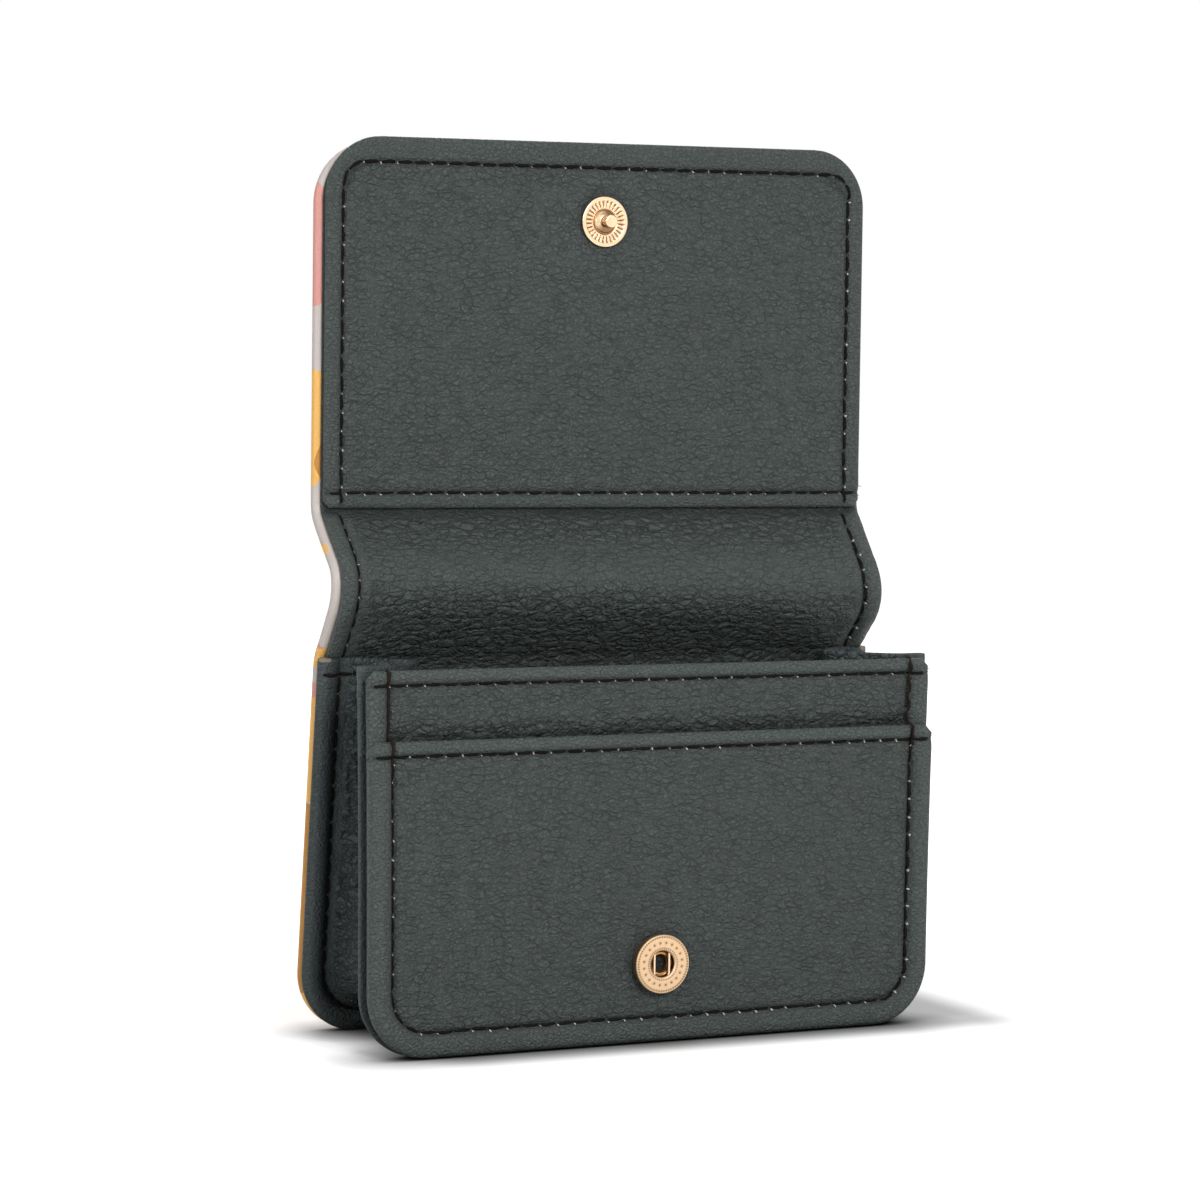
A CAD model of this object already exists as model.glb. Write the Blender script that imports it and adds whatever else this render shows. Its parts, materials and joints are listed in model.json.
"""Card wallet standing open: leather, print, thread and gold-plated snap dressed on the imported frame.

Sizes are in millimetres and are turned into metres where a mesh is made. A sheet is drawn flat first, in
its own coordinates x (across) and s (along its run), and a form then carries it to its place in the wallet.
"""
from __future__ import annotations

import json
import logging
import math
from collections.abc import Callable, Sequence
from dataclasses import dataclass, field, replace
from enum import Enum

import bmesh
import bpy
import numpy as np
from mathutils import Matrix, Vector


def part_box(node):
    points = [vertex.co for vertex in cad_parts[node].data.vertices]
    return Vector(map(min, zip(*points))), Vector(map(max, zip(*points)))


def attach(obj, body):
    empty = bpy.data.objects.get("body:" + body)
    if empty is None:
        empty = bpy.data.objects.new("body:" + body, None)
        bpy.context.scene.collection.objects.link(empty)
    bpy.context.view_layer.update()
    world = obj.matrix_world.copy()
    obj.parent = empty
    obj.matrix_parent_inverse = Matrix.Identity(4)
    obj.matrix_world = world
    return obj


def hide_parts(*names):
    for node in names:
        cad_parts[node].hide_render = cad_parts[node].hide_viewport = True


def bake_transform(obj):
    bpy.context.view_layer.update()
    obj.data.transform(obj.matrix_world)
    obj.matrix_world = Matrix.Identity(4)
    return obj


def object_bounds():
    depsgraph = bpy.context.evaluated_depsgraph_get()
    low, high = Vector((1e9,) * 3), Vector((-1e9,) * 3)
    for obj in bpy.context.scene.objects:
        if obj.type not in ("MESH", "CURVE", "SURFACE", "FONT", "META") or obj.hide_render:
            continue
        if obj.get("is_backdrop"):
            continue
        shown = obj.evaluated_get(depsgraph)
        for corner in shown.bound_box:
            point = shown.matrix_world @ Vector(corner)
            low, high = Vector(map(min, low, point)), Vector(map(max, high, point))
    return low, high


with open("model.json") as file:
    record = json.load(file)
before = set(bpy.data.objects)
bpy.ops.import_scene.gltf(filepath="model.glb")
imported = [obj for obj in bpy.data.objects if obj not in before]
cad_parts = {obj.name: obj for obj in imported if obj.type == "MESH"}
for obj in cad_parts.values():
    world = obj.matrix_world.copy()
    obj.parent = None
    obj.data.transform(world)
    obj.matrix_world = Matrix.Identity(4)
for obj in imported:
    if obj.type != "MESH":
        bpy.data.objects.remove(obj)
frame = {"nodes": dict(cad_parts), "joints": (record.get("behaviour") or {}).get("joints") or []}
CAD_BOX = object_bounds()

logging.basicConfig(level=logging.INFO, format="%(message)s")
log = logging.getLogger("wallet")

MM = 0.001
FAR = 500.0
Array = np.ndarray
Relief = Callable[[Array, Array], Array]
Colour = tuple[float, float, float, float]
Socket = bpy.types.NodeSocket


class Body(str, Enum):
    """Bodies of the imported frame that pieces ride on."""

    BACK = "back"
    FRONT = "front"
    SPINE_LOWER = "spine_lower"
    SPINE_UPPER = "spine_upper"
    FLAP = "flap"


class Slot(str, Enum):
    """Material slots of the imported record."""

    LEATHER = "leather"
    PRINT = "print"
    BOARD = "board"
    THREAD = "thread"
    GOLD = "gold"


class Side(float, Enum):
    """Left and right of the wallet seen from the front."""

    LEFT = -1.0
    RIGHT = 1.0


# Sizes shared by the sub-assemblies, read from the frame where it holds them


def node_box(node: str) -> Array:
    """Lowest and highest corner of a CAD node in millimetres, as two rows."""
    return np.array([list(corner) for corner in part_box(node)]) / MM


def fold_axis(joint: str) -> Array:
    """Y and Z of a fold's axis in millimetres."""
    found = next(j for j in frame["joints"] if j["name"] == joint)
    return np.array(found["pos_m"][1:]) / MM


LAYER_GAP = 0.05
HEM_BULGE = 0.35
HEM_HEIGHT = 4.6
HEM_STITCH = 2.6
SEAM_MARGIN = 4.4
LINING_INSET = 1.15
FRONT_FLARE = 0.8
CORNER_RADIUS = 11.0
SQUARE_RADIUS = 0.8
HALF_WIDTH = node_box("outer_back")[1, 0]
SEAM_HALF = HALF_WIDTH - SEAM_MARGIN
FOLD_BACK = fold_axis("back_fold")
FOLD_SPINE = fold_axis("spine_fold")
FOLD_FLAP = fold_axis("flap_fold")
FLAP_TOP = node_box("outer_flap")[1, 2]
PANEL_THICKNESS = 0.7
LINING_THICKNESS = 0.75
OUTER_THICKNESS = 1.95
OUTER_DEPTH = LINING_THICKNESS + LAYER_GAP


# Small mathematics


def ease(x: Array | float, low: float, high: float) -> Array:
    """Smooth rise from 0 at low to 1 at high."""
    t = np.clip((np.asarray(x, float) - low) / (high - low), 0, 1)
    return t * t * (3 - 2 * t)


def fade(x: Array | float, low: float, high: float) -> Array:
    """Smooth fall from 1 at low to 0 at high."""
    return 1 - ease(x, low, high)


def bump(x: Array, middle: float, width: float) -> Array:
    """Bell curve of height 1."""
    return np.exp(-(((x - middle) / width) ** 2))


def unit(v: Array) -> Array:
    """Vectors scaled to length 1 along the last axis."""
    return v / np.maximum(np.linalg.norm(v, axis=-1, keepdims=True), 1e-12)


def lengths_along(points: Array) -> Array:
    """Length along a polyline at each of its points."""
    return np.concatenate([[0], np.cumsum(np.linalg.norm(np.diff(points, axis=0), axis=1))])


def points_at(places: Array, lengths: Array, points: Array) -> Array:
    """Points of a polyline at places along it."""
    return np.stack([np.interp(places, lengths, column) for column in points.T], axis=-1)


def resample(points: Array, step: float) -> Array:
    """Polyline with points at equal distances along it.

    Args:
        points: Points of the line, one per row.
        step: Wanted distance between neighbours.

    Returns:
        The new points, one per row, with both ends kept.
    """
    lengths = lengths_along(points)
    count = max(2, int(round(lengths[-1] / step)) + 1)
    return points_at(np.linspace(0, lengths[-1], count), lengths, points)


def filleted(corners: Sequence[Sequence[float]], radii: Sequence[float], step: float) -> Array:
    """Polyline in a plane whose inner corners are rounded by arcs.

    Args:
        corners: Corner points, ends included.
        radii: Radius at each inner corner.
        step: Distance between the points of the result.

    Returns:
        Points along the line, one per row.
    """
    path = [np.asarray(corners[0], float)]
    for before, corner, after, radius in zip(corners, corners[1:], corners[2:], radii):
        corner = np.asarray(corner, float)
        back, ahead = unit(np.asarray(before, float) - corner), unit(np.asarray(after, float) - corner)
        half = math.acos(float(np.clip(back @ ahead, -1, 1))) / 2
        if half > math.pi / 2 - 1e-3 or radius <= 0:
            path.append(corner)
            continue
        centre = corner + unit(back + ahead) * radius / math.sin(half)
        start = corner + back * radius / math.tan(half) - centre
        end = corner + ahead * radius / math.tan(half) - centre
        first = math.atan2(start[1], start[0])
        sweep = math.atan2(start[0] * end[1] - start[1] * end[0], start @ end)
        for angle in np.linspace(first, first + sweep, 17):
            path.append(centre + radius * np.array([math.cos(angle), math.sin(angle)]))
    path.append(np.asarray(corners[-1], float))
    return resample(np.array(path), step)


def ripple(x: Array, s: Array, wave: float, seed: int, count: int = 7) -> Array:
    """Low, irregular waviness of a sheet, within about -1 to 1.

    Args:
        x: Places across.
        s: Places along.
        wave: Mean length of a wave.
        seed: Seed of the waves.
        count: Number of waves.

    Returns:
        Height at each place.
    """
    rng = np.random.default_rng(seed)
    total = np.zeros(np.broadcast(x, s).shape)
    for _ in range(count):
        angle, phase = rng.uniform(0, 2 * math.pi), rng.uniform(0, 2 * math.pi)
        stretch = rng.uniform(0.7, 1.5)
        turn = 2 * math.pi / (wave * stretch)
        total = total + np.sin(turn * (math.cos(angle) * x + math.sin(angle) * s) + phase)
    return total / math.sqrt(count) / 1.5


# Skins: points, faces and surface data of one piece


@dataclass
class Skin:
    """Mesh data of a piece in millimetres.

    Attributes:
        points: Vertices, one per row.
        faces: Vertex numbers of each face.
        flat: Place of each vertex on the flat material, for its texture.
        marks: Further values per vertex by name, such as wear.
    """

    points: Array
    faces: list[list[int]]
    flat: Array
    marks: dict[str, Array] = field(default_factory=dict)

    @staticmethod
    def joined(skins: Sequence[Skin]) -> Skin:
        """One skin that holds several unmarked ones."""
        starts = np.cumsum([0] + [len(skin.points) for skin in skins])
        faces = [[i + int(start) for i in face] for skin, start in zip(skins, starts) for face in skin.faces]
        points = np.concatenate([skin.points for skin in skins])
        return Skin(points, faces, np.concatenate([skin.flat for skin in skins]))


def rim_loop(rows: int, columns: int) -> Array:
    """Numbers of the points round the edge of a grid, in order."""
    number = np.arange(rows * columns).reshape(rows, columns)
    return np.concatenate([number[0], number[1:, -1], number[-1, -2::-1], number[-2:0:-1, 0]])


def closed_sheet(front: Array, back: Array, rim: Sequence[Array]) -> tuple[Array, list[list[int]]]:
    """Closed skin of two like grids, joined round the edge by rings of points.

    Args:
        front: Points of the front face, rows by columns by 3.
        back: The same for the back face.
        rim: Rings from front to back, in the order of rim_loop.

    Returns:
        All points, and the faces.
    """
    rows, columns = front.shape[:2]
    loop = rim_loop(rows, columns)
    size, round_count = rows * columns, len(loop)
    number = np.arange(size).reshape(rows, columns)
    low, high = number[:-1], number[1:]
    quads = np.stack([low[:, :-1], low[:, 1:], high[:, 1:], high[:, :-1]], axis=-1).reshape(-1, 4)
    faces = [*quads[:, ::-1].tolist(), *(quads + size).tolist()]
    rings = [loop, *(2 * size + np.arange(len(rim) * round_count).reshape(len(rim), -1)), loop + size]
    for ring, after in zip(rings, rings[1:]):
        faces += np.stack([ring, np.roll(ring, -1), np.roll(after, -1), after], axis=1).tolist()
    return np.concatenate([front.reshape(-1, 3), back.reshape(-1, 3), *rim]), faces


def ring_faces(rings: int, sides: int, closed: bool = False) -> list[list[int]]:
    """Faces between rings of points stored one after the other.

    Args:
        rings: Number of rings.
        sides: Number of points of a ring.
        closed: True if the last ring joins the first, else both ends are capped.

    Returns:
        Vertex numbers of each face.
    """
    number = np.arange(rings * sides).reshape(rings, sides)
    after = np.roll(number, -1, axis=0)
    quads = np.stack([number, np.roll(number, -1, axis=1), np.roll(after, -1, axis=1), after], axis=-1)
    if closed:
        return quads.reshape(-1, 4).tolist()
    return quads[:-1].reshape(-1, 4).tolist() + [number[0, ::-1].tolist(), number[-1].tolist()]


def tube(path: Array, radius: float | Array, sides: int = 8, twist: float = 0.0) -> Skin:
    """Round strand along a path, with closed ends.

    Args:
        path: Points of the middle line, one per row.
        radius: Radius, one for all or one per point.
        sides: Number of points round the strand.
        twist: Turns of its two plies, 0 for a plain wire.

    Returns:
        The strand, with flat coordinates round and along it.
    """
    count = len(path)
    ahead = unit(np.gradient(path, axis=0))
    across = np.empty_like(path)
    hint = np.array([0.0, 1.0, 0.0]) if abs(ahead[0, 1]) < 0.9 else np.array([0.0, 0.0, 1.0])
    for i in range(count):
        across[i] = hint = unit(hint - ahead[i] * (hint @ ahead[i]))
    other = np.cross(ahead, across)
    angle = np.linspace(0, 2 * math.pi, sides, endpoint=False)
    size = np.repeat(np.broadcast_to(np.asarray(radius, float), (count,))[:, None], sides, axis=1)
    if twist:
        turn = np.linspace(0, 2 * math.pi * twist, count)[:, None]
        size = size * (1 + 0.16 * np.cos(2 * angle - turn))
    points = path[:, None] + size[..., None] * (
        np.cos(angle)[:, None] * across[:, None] + np.sin(angle)[:, None] * other[:, None]
    )
    flat = np.stack(np.broadcast_arrays(angle, np.arange(count)[:, None] * 0.3, 0.0), axis=-1)
    return Skin(points.reshape(-1, 3), ring_faces(count, sides), flat.reshape(-1, 3))


def lathe(
    profile: Array, steps: int, centre: Array, shape: Relief | None = None, closed: bool = False
) -> Skin:
    """Turned piece about an axis that points forwards.

    Args:
        profile: Radius and rise above the base of each point.
        steps: Number of points round.
        centre: Place of the middle of the base.
        shape: Height to add at a radius and angle.
        closed: True for a ring, else both ends are capped.

    Returns:
        The turned skin.
    """
    angle = np.linspace(0, 2 * math.pi, steps, endpoint=False)
    radius, rise = profile[:, :1], np.repeat(profile[:, 1:], steps, axis=1)
    if shape is not None:
        rise = rise + shape(radius, angle[None, :])
    x, z = radius * np.cos(angle) + centre[0], radius * np.sin(angle) + centre[2]
    points = np.stack([x, centre[1] - rise, z], axis=-1).reshape(-1, 3)
    return Skin(points, ring_faces(len(profile), steps, closed), points.copy())


def polar(points: Array, centre: Array) -> tuple[Array, Array, Array]:
    """Distance from an axis that points forwards, angle round it and height in front of its base."""
    across, up = points[:, 0] - centre[0], points[:, 2] - centre[2]
    return np.hypot(across, up), np.arctan2(up, across), centre[1] - points[:, 1]


# Forms: where a flat sheet lies in the wallet


class Form:
    """Carries flat coordinates and a depth behind the sheet's visible face to a place in the wallet."""

    def place(self, x: Array, s: Array, depth: Array) -> Array:
        """Places, with x, y and z on the last axis."""
        raise NotImplementedError

    def outward(self, x: Array, s: Array) -> Array:
        """Directions out of the visible face, by a small step in depth."""
        zero = np.zeros(np.broadcast(x, s).shape)
        return unit(self.place(x, s, zero) - self.place(x, s, zero + 0.1))


@dataclass(frozen=True)
class UprightForm(Form):
    """Upright panel that faces forwards.

    Attributes:
        face: Y of the visible face.
        flare: How far each side stands out at the open top.
        height: Height of the full flare.
        run: Run whose twist it shares, if it lies on the flap.
    """

    face: float
    flare: float = 0.0
    height: float = 1.0
    run: RunForm | None = None

    def place(self, x: Array, s: Array, depth: Array) -> Array:
        """Places of the sheet."""
        spread = x * (1 + self.flare / HALF_WIDTH * np.clip(s / self.height, 0, 1.1) ** 2)
        z = s if self.run is None else s + self.run.twist(x, s - FLAP_TOP + self.run.end)
        return np.stack(np.broadcast_arrays(spread, self.face + depth, z), axis=-1)


class RunForm(Form):
    """Run of the lining's face from the back's foot over the three folds to the flap's top."""

    FOLD_RADII = (4.0, 8.0, 3.2)
    SPINE_FORWARD = 1.03
    KINK_TILT = 1.3
    KINK_RISE = 0.35
    FLAP_TILT = 1.4
    STEP = 0.1
    OVERRUN = 6.0

    def __init__(self, foot: Array, top: float) -> None:
        """Samples the run.

        Args:
            foot: Y and Z where the lining's inner face meets the ground.
            top: Z of the flap's free edge.
        """
        first = foot - self.OVERRUN * unit(FOLD_BACK - foot)
        last = np.array([FOLD_FLAP[0], top + self.OVERRUN])
        kink = FOLD_SPINE - np.array([self.SPINE_FORWARD, 0.0])
        self.points = filleted([first, FOLD_BACK, kink, FOLD_FLAP, last], self.FOLD_RADII, self.STEP)
        self.lengths = lengths_along(self.points) - self.OVERRUN
        ahead = unit(np.gradient(self.points, axis=0))
        self.lean = np.arctan2(-ahead[:, 0], ahead[:, 1])
        self.end = self.lengths[-1] - self.OVERRUN
        self.fold_back, self.fold_spine, self.fold_flap = (
            self.nearest(fold) for fold in (FOLD_BACK, FOLD_SPINE, FOLD_FLAP)
        )

    def nearest(self, fold: Array) -> float:
        """Length along the run where it passes a fold's axis."""
        return float(self.lengths[np.argmin(np.linalg.norm(self.points - fold, axis=1))])

    def place(self, x: Array, s: Array, depth: Array) -> Array:
        """Places of the sheet."""
        y, z, lean = (np.interp(s, self.lengths, row) for row in (*self.points.T, self.lean))
        z = z + depth * np.sin(lean) + self.twist(x, s)
        return np.stack(np.broadcast_arrays(x, y + depth * np.cos(lean), z), axis=-1)

    def twist(self, x: Array, s: Array) -> Array:
        """How much higher the strip lies: the kink runs down and the flap up towards the right."""
        side = np.asarray(x, float) / HALF_WIDTH
        kink = ease(s, self.fold_back, self.fold_spine) * fade(s, self.fold_spine, self.fold_flap)
        flap = np.clip((np.asarray(s, float) - self.fold_flap) / (self.end - self.fold_flap), 0, 1.1)
        return kink * (self.KINK_RISE - self.KINK_TILT * side) + flap * self.FLAP_TILT * (1 + side) / 2


# Flat sheets


@dataclass(frozen=True)
class Outline:
    """Rounded rectangle in flat coordinates.

    Attributes:
        half: Half of its width.
        low: Where it starts along the run.
        high: Where it ends.
        low_radius: Corner radius at the start.
        high_radius: Corner radius at the end.
        low_open: True where it goes on past the start, without an edge.
        high_open: The same at the end.
    """

    half: float
    low: float
    high: float
    low_radius: float = SQUARE_RADIUS
    high_radius: float = SQUARE_RADIUS
    low_open: bool = False
    high_open: bool = False

    def inset(self, distance: float) -> Outline:
        """The outline moved inwards, except at its open ends."""
        return replace(
            self,
            half=self.half - distance,
            low=self.low if self.low_open else self.low + distance,
            high=self.high if self.high_open else self.high - distance,
            low_radius=max(self.low_radius - distance, 0.05),
            high_radius=max(self.high_radius - distance, 0.05),
        )

    def size(self) -> tuple[float, float]:
        """Width and length in metres."""
        return 2 * self.half * MM, (self.high - self.low) * MM

    def _reach(self, x: Array, s: Array) -> tuple[Array, ...]:
        """Distances past the middles of the corner arcs, the radius and the way along from the middle."""
        low = self.low - (FAR if self.low_open else 0)
        high = self.high + (FAR if self.high_open else 0)
        way = s - (low + high) / 2
        radius = np.where(s < (self.low + self.high) / 2, self.low_radius, self.high_radius)
        return np.abs(x) - self.half + radius, np.abs(way) - (high - low) / 2 + radius, radius, way

    def distance(self, x: Array, s: Array) -> Array:
        """Distance from the edge, except at open ends, positive inside."""
        across, along, radius, _ = self._reach(x, s)
        outside = np.hypot(np.maximum(across, 0), np.maximum(along, 0))
        return radius - outside - np.minimum(np.maximum(across, along), 0)

    def facing(self, x: Array, s: Array) -> tuple[Array, Array]:
        """Direction out of the edge, across and along, at points on it."""
        across, along, _, way = self._reach(x, s)
        round_part = (across > 0) & (along > 0)
        length = np.maximum(np.hypot(across, along), 1e-9)
        dx = np.where(round_part, across / length, across >= along) * np.sign(x)
        ds = np.where(round_part, along / length, across < along) * np.sign(way)
        return dx, ds

    def ends(self) -> list[tuple[float, float, int]]:
        """Place, corner radius and way inwards of each end that has an edge."""
        low, high = (self.low, self.low_radius, 1), (self.high, self.high_radius, -1)
        return [low] * (not self.low_open) + [high] * (not self.high_open)

    def half_width(self, s: Array) -> Array:
        """Half of the width at each place along."""
        cut = np.zeros_like(s)
        for end, radius, way in self.ends():
            inner = np.clip(radius - way * (s - end), 0, radius)
            cut = cut + radius - np.sqrt(np.maximum(radius**2 - inner**2, 0))
        return self.half - cut


@dataclass(frozen=True)
class Mesh:
    """Spacing of a sheet's grid.

    Attributes:
        edge: Spacing near the edges.
        margin: Width of the finely spaced band there.
        across: Spacing across in the middle.
        along: Spacing along in the middle.
        fine: Stretches along with the edge's spacing.
    """

    edge: float = 0.3
    margin: float = 7.0
    across: float = 0.9
    along: float = 0.6
    fine: tuple[tuple[float, float], ...] = ()

    def rows(self, outline: Outline) -> Array:
        """Places along of the grid's rows."""
        low, high = outline.low, outline.high
        parts = [np.arange(low, high, self.along), [low, high]]
        for end, radius, way in outline.ends():
            turn = np.linspace(0, math.pi / 2, max(4, int(radius / 0.4)))
            parts.append(end + way * radius * (1 - np.cos(turn)))
            parts.append(end + way * np.arange(0, self.margin, self.edge))
        for start, stop in self.fine:
            parts.append(np.arange(max(start, low), min(stop, high), self.edge))
        rows = np.unique(np.concatenate(parts))
        kept = [low]
        for row in rows[(rows > low) & (rows < high)]:
            if row - kept[-1] > 0.2 * self.edge and high - row > 0.1 * self.edge:
                kept.append(float(row))
        return np.array(kept + [high])

    def grid(self, outline: Outline) -> tuple[Array, Array]:
        """Grid of places across and along that fills an outline."""
        rows = self.rows(outline)
        width = outline.half_width(rows)[:, None]
        insets = np.arange(0, self.margin, self.edge)[None, :]
        count = int(2 * (outline.half - self.margin) / self.across) + 1
        middle = np.linspace(-1, 1, count)[None, :] * (width - self.margin)
        across = np.concatenate([insets - width, middle, (width - insets)[:, ::-1]], axis=1)
        return across, np.broadcast_to(rows[:, None], across.shape)


@dataclass(frozen=True)
class Margin:
    """Sewn margin of a panel: a soft bead up to the thread, and the furrow that the thread pulls in.

    Attributes:
        seam: Distance of the thread from the edge.
        bead: Height of the bead.
        furrow: Depth of the furrow.
        width: Half width of the furrow.
        shoulder: Height of the swelling past it.
    """

    seam: float = SEAM_MARGIN
    bead: float = 0.7
    furrow: float = 0.34
    width: float = 0.5
    shoulder: float = 0.12

    def relief(self, distance: Array) -> Array:
        """Height of the surface at distances from the edge."""
        share = np.clip(distance / self.seam, 0, 1)
        bead = self.bead * np.sqrt(1 - np.abs(2 * share - 1) ** 1.8)
        swell = self.shoulder * bump(distance, self.seam + 1.9, 1.2)
        return bead + swell - self.furrow * bump(distance, self.seam, self.width)

    def groove(self, distance: Array) -> Array:
        """1 in the furrow, falling to 0 beside it."""
        return bump(distance, self.seam, 0.4)


@dataclass(frozen=True)
class Ground:
    """Face of a sheet that stitches lie on: its relief stands on a plain depth behind the form's face.

    Its way is 1 for the visible face and -1 for the one that looks backwards. Stitches are made in its span.
    """

    form: Form
    relief: Relief
    face: float = 0.0
    way: int = 1
    span: tuple[float, float] = (-FAR, FAR)

    def place(self, x: Array, s: Array, lift: Array | float) -> Array:
        """Places at a height above the face."""
        return self.form.place(x, s, self.face - self.way * (self.relief(x, s) + lift))


@dataclass
class Seam:
    """Row of stitches along a line on a sheet.

    Attributes:
        path: Points of the line in flat coordinates.
        pitch: Distance between needle holes.
        radius: Half of the thread's thickness.
        slant: Lean of a stitch, as a share of its length.
        seed: Seed of its irregularity.
        dent: Depth of the dent at a needle hole.
    """

    path: Array
    pitch: float = 3.25
    radius: float = 0.29
    slant: float = 0.035
    seed: int = 1
    dent: float = 0.16

    STATIONS = 11
    SIDES = 8
    FLECK_OFFSET = (0.28, -0.2)

    def __post_init__(self) -> None:
        """Measures the line and sets the needle holes on it."""
        self.path = resample(self.path, 0.1)
        self.lengths = lengths_along(self.path)
        count = max(1, int(round(self.lengths[-1] / self.pitch)))
        self.holes = np.linspace(0, self.lengths[-1], count + 1)

    def at(self, length: Array) -> Array:
        """Flat coordinates at lengths along the line."""
        return points_at(length, self.lengths, self.path)

    def dents(self, x: Array, s: Array) -> Array:
        """Depth of the dents round the needle holes."""
        total = np.zeros(x.shape)
        for hole in self.at(self.holes):
            near = (np.abs(x - hole[0]) < 1.5) & (np.abs(s - hole[1]) < 1.5)
            reach = (x[near] - hole[0]) ** 2 + (s[near] - hole[1]) ** 2
            total[near] += self.dent * np.exp(-reach / 0.42**2)
        return total

    def stitches(self, ground: Ground) -> Skin:
        """Twisted threads, each from hole to hole over the surface.

        Args:
            ground: Face that is sewn.

        Returns:
            One skin with all stitches in the ground's span.
        """
        rng = np.random.default_rng(self.seed)
        count = len(self.holes) - 1
        t = np.linspace(0, 1, self.STATIONS)
        gap = rng.uniform(0.08, 0.2, (count, 1))
        start, end = self.holes[:-1, None] + gap, self.holes[1:, None] - rng.uniform(0.08, 0.2, (count, 1))
        along = start + (end - start) * t
        middle = self.at(along)
        place = middle[:, self.STATIONS // 2, 1]
        kept = (place >= ground.span[0]) & (place < ground.span[1])
        ahead = unit(self.at(along + 0.05) - self.at(along - 0.05))
        lean = self.slant * (end - start) * (t - 0.5) * rng.uniform(0.4, 1.6, (count, 1))
        lean = lean + rng.normal(0, 0.04, (count, 1))
        middle = middle + lean[..., None] * np.stack([-ahead[..., 1], ahead[..., 0]], axis=-1)
        x, s = middle[..., 0], middle[..., 1]
        arch = 1 - np.abs(2 * t - 1) ** 3.5
        lift = self.radius * (-1.1 + 1.9 * arch) * rng.uniform(0.9, 1.1, (count, 1))
        centre = ground.place(x, s, lift)
        up = ground.form.outward(x, s) * ground.way
        run = unit(np.gradient(centre, axis=1))
        across = unit(np.cross(run, up))
        up = np.cross(across, run)
        angle = np.linspace(0, 2 * math.pi, self.SIDES, endpoint=False)
        turn = (along * 2.6)[..., None]
        taper = (0.62 + 0.38 * np.sin(math.pi * t) ** 0.4)[None, :, None]
        size = self.radius * taper * (1 + 0.13 * np.cos(2 * angle - turn))
        points = centre[:, :, None] + size[..., None] * (
            np.cos(angle)[:, None] * across[:, :, None] + 0.85 * np.sin(angle)[:, None] * up[:, :, None]
        )
        block, one = self.STATIONS * self.SIDES, ring_faces(self.STATIONS, self.SIDES)
        faces = [[i + stitch * block for i in face] for stitch in range(kept.sum()) for face in one]
        flat = np.stack(np.broadcast_arrays(angle, along[kept, :, None], 0.0), axis=-1)
        shade = np.repeat(rng.uniform(0, 1, count)[kept], block)
        return Skin(points[kept].reshape(-1, 3), faces, flat.reshape(-1, 3), {"shade": shade})

    def flecks(self, ground: Ground) -> Skin:
        """Pale specks of the base cloth that show at the needle holes.

        Args:
            ground: Face that is sewn.

        Returns:
            One skin with all specks.
        """
        rng = np.random.default_rng(self.seed + 100)
        angle = np.linspace(0, 2 * math.pi, self.SIDES, endpoint=False)
        skins = []
        for hole in self.at(self.holes[1:-1]):
            if rng.random() < 0.3:
                continue
            middle = hole + np.array(self.FLECK_OFFSET) * rng.uniform(0.6, 1.2) + rng.normal(0, 0.05, 2)
            size = np.array([rng.uniform(0.13, 0.22), rng.uniform(0.14, 0.3)])
            rings = []
            for share, rise in ((1.0, -0.08), (0.75, 0.03), (0.3, 0.06)):
                x = middle[0] + size[0] * share * np.cos(angle) * rng.uniform(0.8, 1.2, self.SIDES)
                s = middle[1] + size[1] * share * np.sin(angle) * rng.uniform(0.8, 1.2, self.SIDES)
                rings.append(ground.place(x, s, rise))
            points = np.concatenate(rings)
            skins.append(Skin(points, ring_faces(len(rings), self.SIDES), points.copy()))
        return Skin.joined(skins)


@dataclass
class Sheet:
    """Sheet of leather with rounded edges.

    Attributes:
        outline: Its edge in flat coordinates.
        form: Where it lies.
        face: Plain depth of its visible face.
        thickness: Its plain thickness.
        front: Relief of the visible face.
        back: Relief of the back face.
        roll: Reach of the edge's rounding.
        mesh: Spacing of its grid.
        marks: Values per place for the finish, by name.
    """

    outline: Outline
    form: Form
    face: float
    thickness: float
    front: Relief
    back: Relief
    roll: float = 0.4
    mesh: Mesh = Mesh()
    marks: dict[str, Relief] = field(default_factory=dict)

    RIM_RINGS = 7

    def skin(self) -> Skin:
        """The closed skin of the sheet."""
        inner = self.outline.inset(self.roll)
        x, s = self.mesh.grid(inner)
        near = self.face - self.front(x, s)
        far = self.face + self.thickness + self.back(x, s)
        loop = rim_loop(*x.shape)
        edge_x, edge_s = x.reshape(-1)[loop], s.reshape(-1)[loop]
        dx, ds = inner.facing(edge_x, edge_s)
        edge_near, edge_far = near.reshape(-1)[loop], far.reshape(-1)[loop]
        rim, flats = [], []
        for angle in np.linspace(-math.pi / 2, math.pi / 2, self.RIM_RINGS + 2)[1:-1]:
            out = self.roll * math.cos(angle)
            depth = (edge_near + edge_far) / 2 + (edge_far - edge_near) / 2 * math.sin(angle)
            rim.append(self.form.place(edge_x + out * dx, edge_s + out * ds, depth))
            flats.append(np.stack([edge_x + out * dx, edge_s + out * ds, depth], axis=-1))
        points, faces = closed_sheet(self.form.place(x, s, near), self.form.place(x, s, far), rim)
        flat = np.concatenate(
            [np.stack([x, s, depth], axis=-1).reshape(-1, 3) for depth in (near, far)] + flats
        )
        marks = {name: value(flat[:, 0], flat[:, 1]) for name, value in self.marks.items()}
        edge = np.exp(-np.maximum(self.outline.distance(flat[:, 0], flat[:, 1]), 0) / 0.5)
        marks["worn"] = np.maximum(marks.get("worn", 0.0), 0.5 * edge)
        return Skin(points, faces, flat, marks)


# Shader building


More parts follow.
